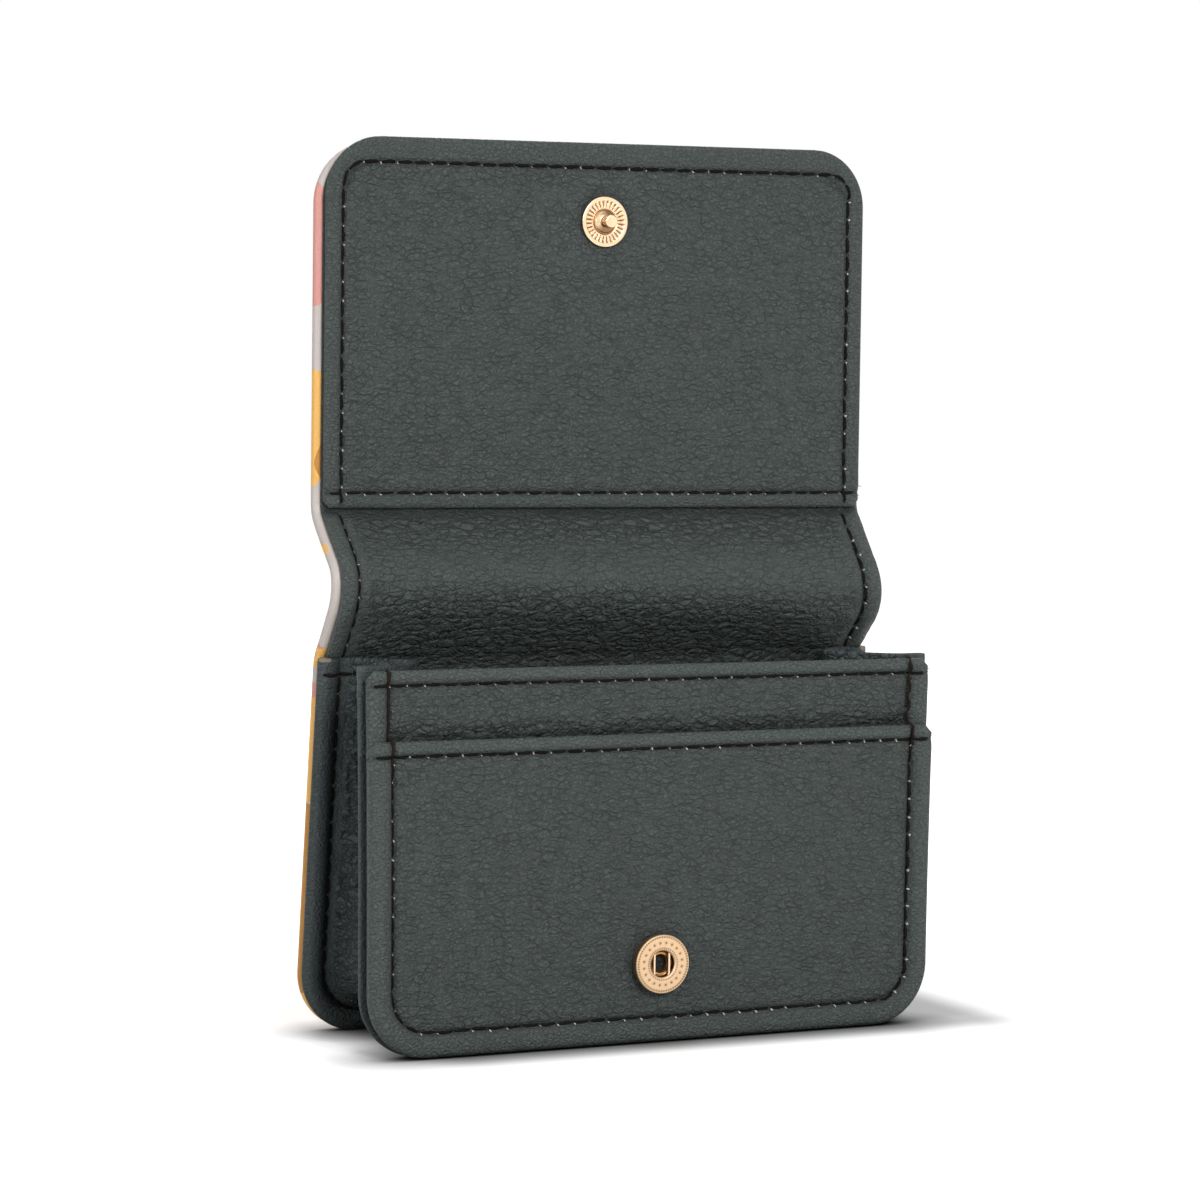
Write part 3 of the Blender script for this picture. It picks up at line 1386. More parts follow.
@dataclass
class HemmedPanel:
    """Sewn panel with a hem along its free edge.

    Attributes:
        name: Its name.
        node: CAD node it stands for.
        body: Body it rides on.
        outline: Its edge.
        form: Where it lies.
        hem: Its free edge.
        seam: Its own side and end seam, if it shows one.
        margin: Relief of the sewn margin.
        edge: Edge that the margin is measured from.
        hem_nodes: CAD threads of the hem.
        seam_nodes: CAD threads of the seam.
        roll: Reach of the edge's rounding.
        spacer: Extra thickness along the sewn edge, which leaves a card slot in the middle.
        hem_half: Half of the length of the hem's stitches.
        hem_side: Share of the hem's height over the sewn margin.
        snap: Place along of a snap that presses a hollow in, if it has one.
        snap_radius: Radius of that snap.
        tuck: Place along where it is drawn in behind another's mouth, if it is.
        rub: How far the bead is rubbed light.
        seed: Seed of the waves and threads.
        wave: Height of the waves.
    """

    SNAP_HOLLOW = 0.3
    FRAYED_ENDS = 4

    name: str
    node: str
    body: Body
    outline: Outline
    form: Form
    hem: Hem
    seam: Seam | None
    margin: Margin
    edge: Outline
    hem_nodes: Sequence[str]
    seam_nodes: Sequence[str]
    roll: float = 1.4
    spacer: float = 0.0
    hem_half: float = 0.0
    hem_side: float = 0.6
    snap: float | None = None
    snap_radius: float = 0.0
    tuck: float | None = None
    rub: float = 0.0
    seed: int = 0
    wave: float = 0.12

    def __post_init__(self) -> None:
        """Sets the hem's stitches."""
        self.hem_seam = Seam(self.hem.path(self.hem_half), seed=self.seed + 50)
        self.seams = [seam for seam in (self.hem_seam, self.seam) if seam is not None]

    def relief(self, x: Array, s: Array) -> Array:
        """Height of the visible face."""
        edge = self.sewn_distance(x, s)
        sides = ease(edge, self.margin.seam - 1.0, self.margin.seam + 0.4)
        end = ease(self.hem.depth(s), -0.4, 1.4)
        height = self.margin.relief(edge) * (self.hem_side + (1 - self.hem_side) * end)
        height = height + self.hem.relief(s) * (self.hem_side + (1 - self.hem_side) * sides)
        height = height * (1 - 0.75 * self.pinch(x, s))
        inside = ease(edge, SEAM_MARGIN, SEAM_MARGIN + 9)
        height = height + self.wave * ripple(x, s, 34.0, self.seed) * inside
        for seam in self.seams:
            height = height - seam.dents(x, s)
        if self.tuck is not None:
            crumple = 0.24 * ripple(x, s * 1.6, 4.5, 91) * bump(s, self.tuck + 1.4, 2.0)
            height = height - (0.75 * bump(s, self.tuck - 0.6, 2.3) + crumple) * sides
        if self.snap is not None:
            reach = np.hypot(x, s - self.snap)
            height = height - self.SNAP_HOLLOW * fade(reach, self.snap_radius - 0.4, self.snap_radius + 1.8)
            height = height - 0.28 * fade(reach, 1.5, 2.3)
        return height

    def pinch(self, x: Array, s: Array) -> Array:
        """1 at the hem's ends, which the side seams press flat, falling to 0 beside them."""
        half = self.outline.half
        return ease(np.abs(x), half - 2.4, half - 0.3) * fade(self.hem.depth(s), 1.6, 4.5)

    def worn(self, x: Array, s: Array) -> Array:
        """How far the leather is rubbed light: at the hem's ends and on the bead."""
        depth, half = self.hem.depth(s), self.outline.half
        ends = ease(np.abs(x), half - 4.2, half - 2.6) * fade(depth, 0.8, 2.6)
        bead = self.rub * np.maximum(bump(self.sewn_distance(x, s), 1.6, 1.2), bump(depth, 1.0, 1.0))
        return np.maximum(ends, bead)

    def raw(self, x: Array, s: Array) -> Array:
        """Pale cut ends of the hem's fold at both sides."""
        cut = 0.7 * ease(np.abs(x), self.outline.half - 0.35, self.outline.half - 0.05)
        return cut * fade(self.hem.depth(s), 0.8, 1.8)

    def sewn_distance(self, x: Array, s: Array) -> Array:
        """Distance from the sewn edges, without the free edge."""
        return replace(self.edge, low_open=self.hem.way > 0, high_open=self.hem.way < 0).distance(x, s)

    def grooves(self, x: Array, s: Array) -> Array:
        """Dark of the needle holes and, less, of the furrows of both seams."""
        edge = self.sewn_distance(x, s)
        inside = ease(edge, self.margin.seam - 0.6, self.margin.seam)
        sewn = self.margin.groove(edge) if self.seam is not None else 0.0 * edge
        furrow = 0.4 * np.maximum(sewn, self.hem.groove(s) * inside)
        holes = sum(seam.dents(x, s) / seam.dent for seam in self.seams)
        if self.snap is not None:
            reach = np.hypot(x, s - self.snap)
            ring = 0.6 * fade(reach, self.snap_radius - 0.2, self.snap_radius + 1.1)
            furrow = np.maximum(np.maximum(furrow, ring), reach < self.snap_radius / 2)
        if self.tuck is not None:
            furrow = np.maximum(furrow, 0.9 * bump(s, self.tuck + 0.2, 0.5) * inside)
        if self.hem.way < 0:
            furrow = np.maximum(furrow, fade(s, 0.05, 0.8))
        return np.clip(np.maximum(furrow, holes), 0, 1)

    def creased(self, x: Array, s: Array) -> Array:
        """How strongly the leather is creased: most beside another panel's mouth."""
        flat = ease(self.sewn_distance(x, s), self.margin.seam - 0.8, self.margin.seam + 0.2)
        flat = flat * ease(self.hem.depth(s), HEM_STITCH - 0.6, HEM_STITCH + 0.2)
        mouth = 0.0 if self.tuck is None else 0.7 * bump(s, self.tuck + 0.6, 2.4)
        return flat * mouth - 0.7 * (1 - flat)

    def back(self, x: Array, s: Array) -> Array:
        """Height of the back face: the spacer along the sewn edge."""
        return self.spacer * fade(self.sewn_distance(x, s), 4.8, 6.4)

    def build(self) -> None:
        """Makes the panel and its stitches."""
        low, high = self.outline.low, self.outline.high
        sheet = Sheet(
            self.outline, self.form, 0.0, PANEL_THICKNESS, self.relief, self.back, self.roll,
            Mesh(edge=0.3, across=0.6, along=0.6, fine=((low, low + 8), (high - 8, high))),
            {"raw": self.raw, "worn": self.worn, "crease": self.grooves, "creased": self.creased},
        )
        piece = add_piece(self.name, sheet.skin(), LEATHER, Slot.LEATHER, self.body, [self.node])
        self.outline.size()
        ground = Ground(self.form, self.relief)
        sew(self.hem_seam, ground, self.name + "_hem_{}", self.body, self.hem_nodes)
        if self.seam is not None:
            sew(self.seam, ground, self.name + "_edge_{}", self.body, self.seam_nodes)
        self.fray()

    def fray(self) -> None:
        """Loose thread ends at both ends of the hem."""
        rng = np.random.default_rng(self.seed + 7)
        s = self.hem.edge + self.hem.way * HEM_STITCH
        skins = []
        for side in Side:
            for _ in range(self.FRAYED_ENDS):
                x = side * (self.outline.half - rng.uniform(0.0, 1.2))
                root = self.form.place(np.array(x), np.array(s + rng.normal(0, 0.5)), np.array(0.1))
                across, forward = side * rng.uniform(0.3, 0.9), -rng.uniform(0.1, 0.5)
                bend = np.array([across, forward, rng.uniform(-0.5, 0.5)])
                t = np.linspace(0, 1, 8)[:, None]
                path = root + bend * t + np.array([0, 0, rng.uniform(-0.5, 0.3)]) * t**2
                skins.append(tube(path, 0.07 * (1.15 - t[:, 0]), 5))
        add_piece(f"{self.name}_frayed_ends", Skin.joined(skins), TACK_THREAD, Slot.THREAD, self.body)


@dataclass
class Flap:
    """Facing on the flap's inside, with its hem above the spine.

    Attributes:
        run: Line that the cover follows.
        pocket_gap: Extra thickness along the sewn edge.
        seam_radius: Radius of the seam's corners.
    """

    run: RunForm
    pocket_gap: float = 0.3
    seam_radius: float = 4.2

    def build(self) -> None:
        """Makes the facing."""
        box = node_box("flap_facing")
        half = HALF_WIDTH - LINING_INSET
        outline = Outline(half, box[0, 2], box[1, 2], SQUARE_RADIUS, CORNER_RADIUS - LINING_INSET / 2)
        form = UprightForm(box[0, 1] + HEM_BULGE, run=self.run)
        top = box[1, 2] - SEAM_MARGIN
        path = u_path(SEAM_HALF, outline.low + 0.6, top, self.seam_radius)
        HemmedPanel(
            "flap_facing_panel", "flap_facing", Body.FLAP, outline, form,
            Hem(outline.low, 1), Seam(path, seed=31), Margin(bead=0.4, furrow=0.3),
            Outline(HALF_WIDTH, outline.low, box[1, 2], SQUARE_RADIUS, CORNER_RADIUS),
            ["facing_hem_thread"], ["flap_seam_thread"], roll=1.0, hem_half=half - 0.9, seed=300,
            spacer=self.pocket_gap, snap=float(node_box("stud")[:, 2].mean()), snap_radius=PressStud.radius,
        ).build()


@dataclass
class Front:
    """Front of the wallet: pocket, panel behind it, lining and the bar tacks at the pocket's mouth.

    Attributes:
        lining_inset: Inset of the lining's edge from the pocket's.
    """

    lining_inset: float = 0.9

    # Passes of thread, their radius and the distance between the wraps of each bar tack
    TACKS = {Side.LEFT: (3, 0.24, 0.9), Side.RIGHT: (2, 0.13, 2.4)}
    LOOSE_ENDS = 6

    def build(self) -> None:
        """Makes the three layers and the tacks."""
        pocket, panel, lining = (node_box(n) for n in ("front_pocket", "front_panel", "front_lining"))
        top = panel[1, 2]
        pocket_top = pocket[1, 2]
        spacer = pocket[1, 1] - pocket[0, 1] - HEM_BULGE - PANEL_THICKNESS
        path = u_path(SEAM_HALF, pocket_top - 0.4, SEAM_MARGIN, CORNER_RADIUS - SEAM_MARGIN)
        pocket_form = UprightForm(pocket[0, 1] + HEM_BULGE, FRONT_FLARE, top)
        outline = Outline(HALF_WIDTH, 0.0, pocket_top, CORNER_RADIUS, SQUARE_RADIUS)
        self.pocket = HemmedPanel(
            "front_pocket_panel", "front_pocket", Body.FRONT,
            outline, pocket_form, Hem(pocket_top, -1), Seam(path, seed=41),
            Margin(bead=1.0, furrow=0.45), outline, ["pocket_hem_thread"], ["front_seam_thread"],
            spacer=spacer, hem_half=HALF_WIDTH - 1.0, hem_side=0.5,
            snap=float(node_box("socket")[:, 2].mean()), snap_radius=SpringSocket.radius, rub=0.7, seed=400,
        )
        self.pocket.build()
        panel_form = UprightForm(panel[0, 1] + HEM_BULGE, FRONT_FLARE, top)
        self.panel = HemmedPanel(
            "front_upper_panel", "front_panel", Body.FRONT,
            replace(outline, half=HALF_WIDTH - 0.4, low=0.3, high=top), panel_form,
            Hem(top, -1), None, Margin(bead=1.0, furrow=0.45), replace(outline, high=top),
            ["front_hem_thread"], [], hem_half=HALF_WIDTH - 1.4, hem_side=0.1, tuck=pocket_top,
            rub=0.7, seed=500,
        )
        self.panel.build()
        self.build_lining(lining, top)
        for side in Side:
            self.tack(side, pocket_top, top)

    def build_lining(self, box: Array, top: float) -> None:
        """Makes the lining behind the panel."""
        outline = Outline(HALF_WIDTH - self.lining_inset, 0.3, box[1, 2], CORNER_RADIUS, SQUARE_RADIUS)
        form = UprightForm(box[0, 1], FRONT_FLARE, top)
        margin = Margin(bead=0.0, furrow=0.15)

        def face(x: Array, s: Array) -> Array:
            """Back face with the furrow of the seam."""
            return margin.relief(replace(outline, high_open=True).distance(x, s)) * 0.5

        sheet = Sheet(outline, form, 0.0, box[1, 1] - box[0, 1], no_relief, face, 0.5)
        skin, flat = sheet.skin(), (2 * outline.half * MM, outline.high * MM)
        piece = add_piece("front_lining_panel", skin, LINING, Slot.LEATHER, Body.FRONT, ["front_lining"])

    def tack(self, side: Side, low: float, high: float) -> None:
        """Bar tack beside the pocket's mouth: several passes of thread over each other.

        Args:
            side: Left or right.
            low: Top of the pocket.
            high: Top of the panel.
        """
        rng = np.random.default_rng(60 + int(side))
        x = side * SEAM_HALF
        skins = []
        step = self.panel.form.face - self.pocket.form.face
        passes, radius, wrap_step = self.TACKS[side]
        for _ in range(passes):
            s = np.linspace(low - 4.2 + rng.uniform(-0.6, 0.4), high + rng.uniform(-0.3, 0.25), 120)
            sway = 0.1 * np.sin(2 * math.pi * s / rng.uniform(2.6, 3.6) + rng.uniform(0, 6))
            sway = x + sway + rng.normal(0, 0.07)
            on_panel = ease(s, low - 0.3, low + 0.5)
            upper = on_panel * (self.panel.relief(sway, s) - step)
            ground = (1 - on_panel) * self.pocket.relief(sway, s) + upper
            lift = ground + 0.22 + 0.12 * np.sin(2 * math.pi * s / rng.uniform(2.8, 3.4) + rng.uniform(0, 6))
            path = self.pocket.form.place(sway, s, -lift)
            skins.append(tube(path, radius, 8, twist=9))
        for s in np.arange(low + 1.0, high - 0.5, wrap_step):
            t = np.linspace(-1, 1, 9)
            across = x + 0.3 * t
            along = s + 0.12 * t + rng.normal(0, 0.08)
            ground = self.panel.relief(across, along) - step
            path = self.pocket.form.place(across, along, -(ground + 0.5 * np.sqrt(1 - 0.9 * t**2)))
            skins.append(tube(path, 0.15, 6))
        top = self.panel.form.place(np.array(x), np.array(high), np.array(0.2))
        for _ in range(self.LOOSE_ENDS):
            t = np.linspace(0, 1, 9)[:, None]
            reach = np.array([rng.normal(0, 0.35), rng.normal(0, 0.25), rng.uniform(0.35, 1.1)])
            path = top + np.array([rng.normal(0, 0.2), 0, -0.3]) + reach * t + rng.normal(0, 0.3, 3) * t**2
            skins.append(tube(path, 0.08 * (1.2 - t[:, 0]), 5))
        word = side.name.lower()
        node = f"front_tack_{word}"
        add_piece(f"front_bar_tack_{word}", Skin.joined(skins), TACK_THREAD, Slot.THREAD, Body.FRONT, [node])


# Gusset


@dataclass
class Gusset:
    """U-shaped strip between front and back, sewn to both by flanges and folded inwards.

    Attributes:
        run: Line of the back's inner face.
        flange: Width of the flanges.
        fold: Depth of the inward fold at the top.
        taper: Height over which the fold grows.
        power: Sharpness of the fold.
        bottom_share: Share of the corners' room that the bottom's fold takes.
        edge_inset: Inset of its back and front edges.
        seam: Distance of the seams from its edges.
    """

    run: RunForm
    flange: float = 5.4
    fold: float = 8.4
    taper: float = 30.0
    power: float = 1.3
    bottom_share: float = 0.5
    edge_inset: tuple[float, float] = (0.2, 0.15)
    seam: float = 3.6

    STATION = 0.7
    SECTION = 110
    ROUNDING, ROUNDING_REACH = 5.0, 12
    LEAN_HEIGHT = 40.0
    RIM_RINGS, RIM_BULGE = 7, 0.35

    def __post_init__(self) -> None:
        """Reads the gusset's place from the frame."""
        box = node_box("gusset")
        self.front_y = box[0, 1]
        self.top = box[1, 2] + 0.9
        self.bottom_fold = (CORNER_RADIUS - self.flange - PANEL_THICKNESS) * self.bottom_share

    def back_y(self, z: Array) -> Array:
        """Y of the back lining's inner face, with the back's plane carried on past the fold."""
        heights = 0.0, self.LEAN_HEIGHT
        foot, upper = np.interp(heights, self.run.points[:, 1], self.run.points[:, 0]) - LAYER_GAP
        return foot + (upper - foot) / self.LEAN_HEIGHT * z

    def middle(self) -> tuple[Array, Array, Array]:
        """Middle surface of the strip.

        Returns:
            Points by station and section, lengths along, and shares of the way from back to front.
        """
        line = u_path(HALF_WIDTH, self.top, 0.0, CORNER_RADIUS)
        line = resample(line, self.STATION)
        ahead = unit(np.gradient(line, axis=0))
        inward = np.stack([-ahead[:, 1], ahead[:, 0]], axis=1)
        height = line[:, 1]
        share = ease(height, CORNER_RADIUS, CORNER_RADIUS + self.taper)
        fold = self.bottom_fold + (self.fold - self.bottom_fold) * share
        half = PANEL_THICKNESS / 2
        v = np.linspace(0, 1, 41)
        wall_inset = self.flange + half + fold[:, None] * (1 - np.abs(2 * v - 1) ** self.power)
        back_end, front_end = (np.full((len(line), 1), inset) for inset in self.edge_inset)
        inset = np.concatenate([back_end, wall_inset, front_end], axis=1)
        depth = np.concatenate([[0], v, [1]])
        sections = []
        for i in range(len(line)):
            x = line[i, 0] + inward[i, 0] * inset[i]
            z = line[i, 1] + inward[i, 1] * inset[i]
            back, front = self.back_y(z) - half, self.front_y + half
            spread = 1 + FRONT_FLARE / HALF_WIDTH * np.clip(z / self.top, 0, 1.1) ** 2 * depth
            section = np.stack([x * spread, back + (front - back) * depth, z], axis=1)
            even = resample(section, 0.1)
            rows = np.linspace(0, len(even) - 1, self.SECTION)
            sections.append(points_at(rows, np.arange(len(even)), even))
        points = np.array(sections)
        reach = self.ROUNDING_REACH
        weight = np.exp(-((np.arange(-reach, reach + 1) / self.ROUNDING) ** 2))
        padded = np.concatenate([points[:, :1]] * reach + [points] + [points[:, -1:]] * reach, axis=1)
        soft = sum(w * padded[:, i : i + self.SECTION] for i, w in enumerate(weight))
        soft = soft / weight.sum()
        ends = ease(np.minimum(np.arange(self.SECTION), np.arange(self.SECTION)[::-1]), 2, 9)[None, :, None]
        points = points * (1 - ends) + soft * ends
        along = np.arange(len(line)) * self.STATION
        return points, along, np.linspace(0, 1, self.SECTION)

    def build(self) -> None:
        """Makes the strip, its hems and its stitches."""
        points, along, share = self.middle()
        along_grid, share_grid = np.broadcast_arrays(along[:, None], share[None, :])
        normal = unit(np.cross(np.gradient(points, axis=0), np.gradient(points, axis=1)))
        width = np.linalg.norm(np.diff(points, axis=1), axis=2).sum(axis=1)[:, None]
        across = share_grid * width
        wall = ease(share_grid, 0.12, 0.17) * fade(share_grid, 0.83, 0.88)
        creases = np.exp(-((ripple(across * 2.4, along_grid * 0.6, 9.0, 71) / 0.11) ** 2))
        waves = 0.5 * ripple(across * 2.4, along_grid * 0.6, 12.0, 72)
        waves = waves + 0.24 * ripple(across * 3, along_grid, 6.0, 73)
        length = along[-1]
        from_top = np.minimum(along_grid, length - along_grid)
        hem = fade(from_top, HEM_HEIGHT - 0.4, HEM_HEIGHT + 0.4)
        furrow = bump(from_top, HEM_STITCH, 0.5)
        points = points + normal * (wall * (waves - 0.3 * creases) * (1 - 0.8 * hem))[..., None]
        edge = np.minimum(share_grid, 1 - share_grid) * width
        bead = 0.9 * np.sin(math.pi * np.clip(edge / self.seam, 0, 1)) ** 0.7
        half = PANEL_THICKNESS / 2 + 0.3 * hem - 0.3 * furrow
        inner_half = half + (bead - 0.35 * bump(edge, self.seam, 0.6)) * (1 - wall)
        # The normal points out of the wallet, and the beads lie on that side, away from the panels.
        front, back = points + normal * inner_half[..., None], points - normal * half[..., None]
        loop = rim_loop(*share_grid.shape)
        rows, columns = share_grid.shape
        out = np.zeros_like(points)
        out[0] += unit(points[0] - points[1])
        out[-1] += unit(points[-1] - points[-2])
        out[:, 0] += unit(points[:, 0] - points[:, 1])
        out[:, -1] += unit(points[:, -1] - points[:, -2])
        out = unit(out.reshape(-1, 3)[loop])
        near, far = front.reshape(-1, 3)[loop], back.reshape(-1, 3)[loop]
        rim = []
        for angle in np.linspace(-math.pi / 2, math.pi / 2, self.RIM_RINGS)[1:-1]:
            mid = (near + far) / 2 + (far - near) / 2 * math.sin(angle)
            rim.append(mid + out * self.RIM_BULGE * math.cos(angle))
        skin_points, faces = closed_sheet(front, back, rim)

        def everywhere(values: Array) -> Array:
            """Values of the grid for both faces and the rim."""
            values = values.reshape(rows * columns, -1).squeeze()
            return np.concatenate([values, values] + [values[loop]] * len(rim))

        flat = everywhere(np.stack([across, along_grid, np.zeros_like(across)], axis=-1))
        seam_dark = np.maximum(0.8 * bump(edge, self.seam, 1.3), 0.6 * ease(edge, 0.4, 1.6)) * (1 - wall)
        right = along_grid > length / 2
        marks = {
            "crease": np.maximum(creases * wall * 0.7, seam_dark),
            "raw": fade(from_top, 0.2, 0.9) * fade(across, 0.8, 2.4),
            "worn": (0.25 + 0.75 * right) * fade(from_top, 1.6, 3.8),
            "creased": 0.9 * wall - 0.7 * (1 - wall),
        }
        skin = Skin(skin_points, faces, flat, {name: everywhere(values) for name, values in marks.items()})
        bend = Bend(Body.BACK, Body.FRONT, (0.0, 8.0, 30.0), (0.0, self.front_y, 30.0))
        piece = add_piece("gusset_strip", skin, GUSSET_LEATHER, Slot.LEATHER, bend, ["gusset"])
        form = GridForm(points + normal * (inner_half + 0.02)[..., None], normal, along)
        self.stitch(form, self.seam / width[:, 0] * (self.SECTION - 1), bend)

    def stitch(self, form: GridForm, seam_column: Array, bend: Bend) -> None:
        """Sews the back flange's edge and both hems.

        Args:
            form: The strip's outer face.
            seam_column: Column of the back's seam at each row.
            bend: Bend that the strip follows.
        """
        along = form.along
        rows = np.linspace(3.0, along[-1] - 3.0, 400)
        seam = Seam(np.stack([np.interp(rows, along, seam_column), rows], axis=1), seed=81)
        ground = Ground(form, no_relief)
        sew(seam, ground, "back_edge_{}", Body.BACK, ["back_seam_thread"])
        for side, row in ((Side.LEFT, HEM_STITCH), (Side.RIGHT, along[-1] - HEM_STITCH)):
            path = np.stack([np.linspace(1.0, self.SECTION * 0.8, 120), np.full(120, row)], axis=1)
            length = lengths_along(form.place(path[:, 0], path[:, 1], 0 * path[:, 0]))[-1]
            seam = Seam(path, seed=90 + int(side), pitch=3.0 * (path[-1, 0] - path[0, 0]) / length, slant=0.0)
            word = side.name.lower()
            nodes = [f"gusset_hem_thread_{word}"]
            add_piece(f"gusset_hem_stitches_{word}", seam.stitches(ground), THREAD, Slot.THREAD, bend, nodes)


class GridForm(Form):
    """Form of a sheet whose face is a grid of points, with x as a column and s as a length along."""

    def __init__(self, surface: Array, normals: Array, along: Array) -> None:
        """Keeps the grid, its normals and the length along of each row."""
        self.surface, self.normals, self.along = surface, normals, along

    def sample(self, grid: Array, x: Array, s: Array) -> Array:
        """Grid values between its points."""
        rows = np.clip(np.interp(s, self.along, np.arange(len(self.along))), 0, len(self.along) - 1.001)
        columns = np.clip(np.asarray(x, float), 0, grid.shape[1] - 1.001)
        r, c = np.floor(rows).astype(int), np.floor(columns).astype(int)
        fr, fc = (rows - r)[..., None], (columns - c)[..., None]
        top = grid[r, c] * (1 - fc) + grid[r, c + 1] * fc
        return top * (1 - fr) + (grid[r + 1, c] * (1 - fc) + grid[r + 1, c + 1] * fc) * fr

    def place(self, x: Array, s: Array, depth: Array) -> Array:
        """Places of the sheet."""
        inward = self.sample(self.normals, x, s) * np.asarray(depth)[..., None]
        return self.sample(self.surface, x, s) - inward

    def outward(self, x: Array, s: Array) -> Array:
        """Directions out of the visible face."""
        return unit(self.sample(self.normals, x, s))


# Press stud and spring socket


@dataclass
class PressStud:
    """Stud on the flap: a grooved flange, a collar, a neck and a head.

    Attributes:
        radius: Radius of the flange.
        thickness: Thickness of the flange.
        ribs: Number of its grooves.
        groove: Depth of a groove.
        collar: Radius of the collar.
        neck: Radius of the neck.
        head: Radius of the head.
        head_height: Height of the head.
        longer: Reach of the head past the plain solid.
    """

    radius: float = 4.55
    thickness: float = 0.5
    ribs: int = 28
    groove: float = 0.2
    collar: float = 2.1
    neck: float = 0.8
    head: float = 1.17
    head_height: float = 1.7
    longer: float = 0.5

    SIDES_OF_RIB = 12

    def wedge(self, radius: Array, angle: Array) -> Array:
        """1 in the middle of a groove, 0 between grooves."""
        share = np.abs((angle * self.ribs / (2 * math.pi)) % 1 - 0.5)
        inside = ease(radius, 2.3, 2.75) * fade(radius, 3.72, 3.86)
        width = 0.16 + 0.14 * ease(radius, 2.3, 3.7)
        return np.clip(1 - share / width, 0, 1) ** 0.7 * inside

    def build(self) -> None:
        """Makes the stud."""
        box = node_box("stud")
        centre = np.array([0.0, box[1, 1], (box[0, 2] + box[1, 2]) / 2])
        tip = box[1, 1] - box[0, 1] + self.longer
        foot = tip - self.head_height
        r, t, c, h = self.radius, self.thickness, self.collar, self.head
        corners = [
            (0.02, 0), (r, 0), (r, t), (3.9, t), (3.7, t - 0.06), (2.45, t - 0.1), (2.25, t - 0.2),
            (c, t - 0.2), (c - 0.2, t + 0.1), (c - 0.8, t + 0.44), (self.neck, t + 0.5), (self.neck, foot),
            (h, foot + 0.28), (h, tip - 0.14), (h - 0.14, tip - 0.02), (0.02, tip),
        ]
        radii = (0.08, 0.24, 0.06, 0.05, 0.05, 0.05, 0.04, 0.15, 0.2, 0.06, 0.1, 0.12, 0.08, 0.08)
        profile = filleted(corners, radii, 0.06)
        upper = np.arange(len(profile)) > np.argmax(profile[:, 0])

        def ribbed(radius: Array, angle: Array) -> Array:
            """Cuts the grooves into the flange's upper side."""
            return -self.groove * self.wedge(radius, angle) * upper[:, None]

        skin = lathe(profile, self.ribs * self.SIDES_OF_RIB, centre, ribbed)
        reach, angle, height = polar(skin.points, centre)
        recess = bump(reach, 2.2, 0.16) * fade(height, 0.45, 0.6)
        under = bump(height, foot + 0.05, 0.2) * (reach < self.head + 0.1)
        lit = np.clip(np.cos(angle - 2.8), 0, 1) ** 2
        flank = (reach < self.collar) * ease(height, t - 0.15, t) * fade(height, tip - 0.18, tip - 0.06)
        marks = 0.8 * self.wedge(reach, angle) + 0.95 * recess + 0.5 * under + 0.85 * flank * (1 - lit)
        skin.marks["tarnish"] = np.clip(marks, 0, 1) * (height > 0.02)
        add_piece("press_stud", skin, GOLD, Slot.GOLD, Body.FLAP, ["stud"], sharp=50)
        dress_node("stud_rivet", GOLD_DARK)


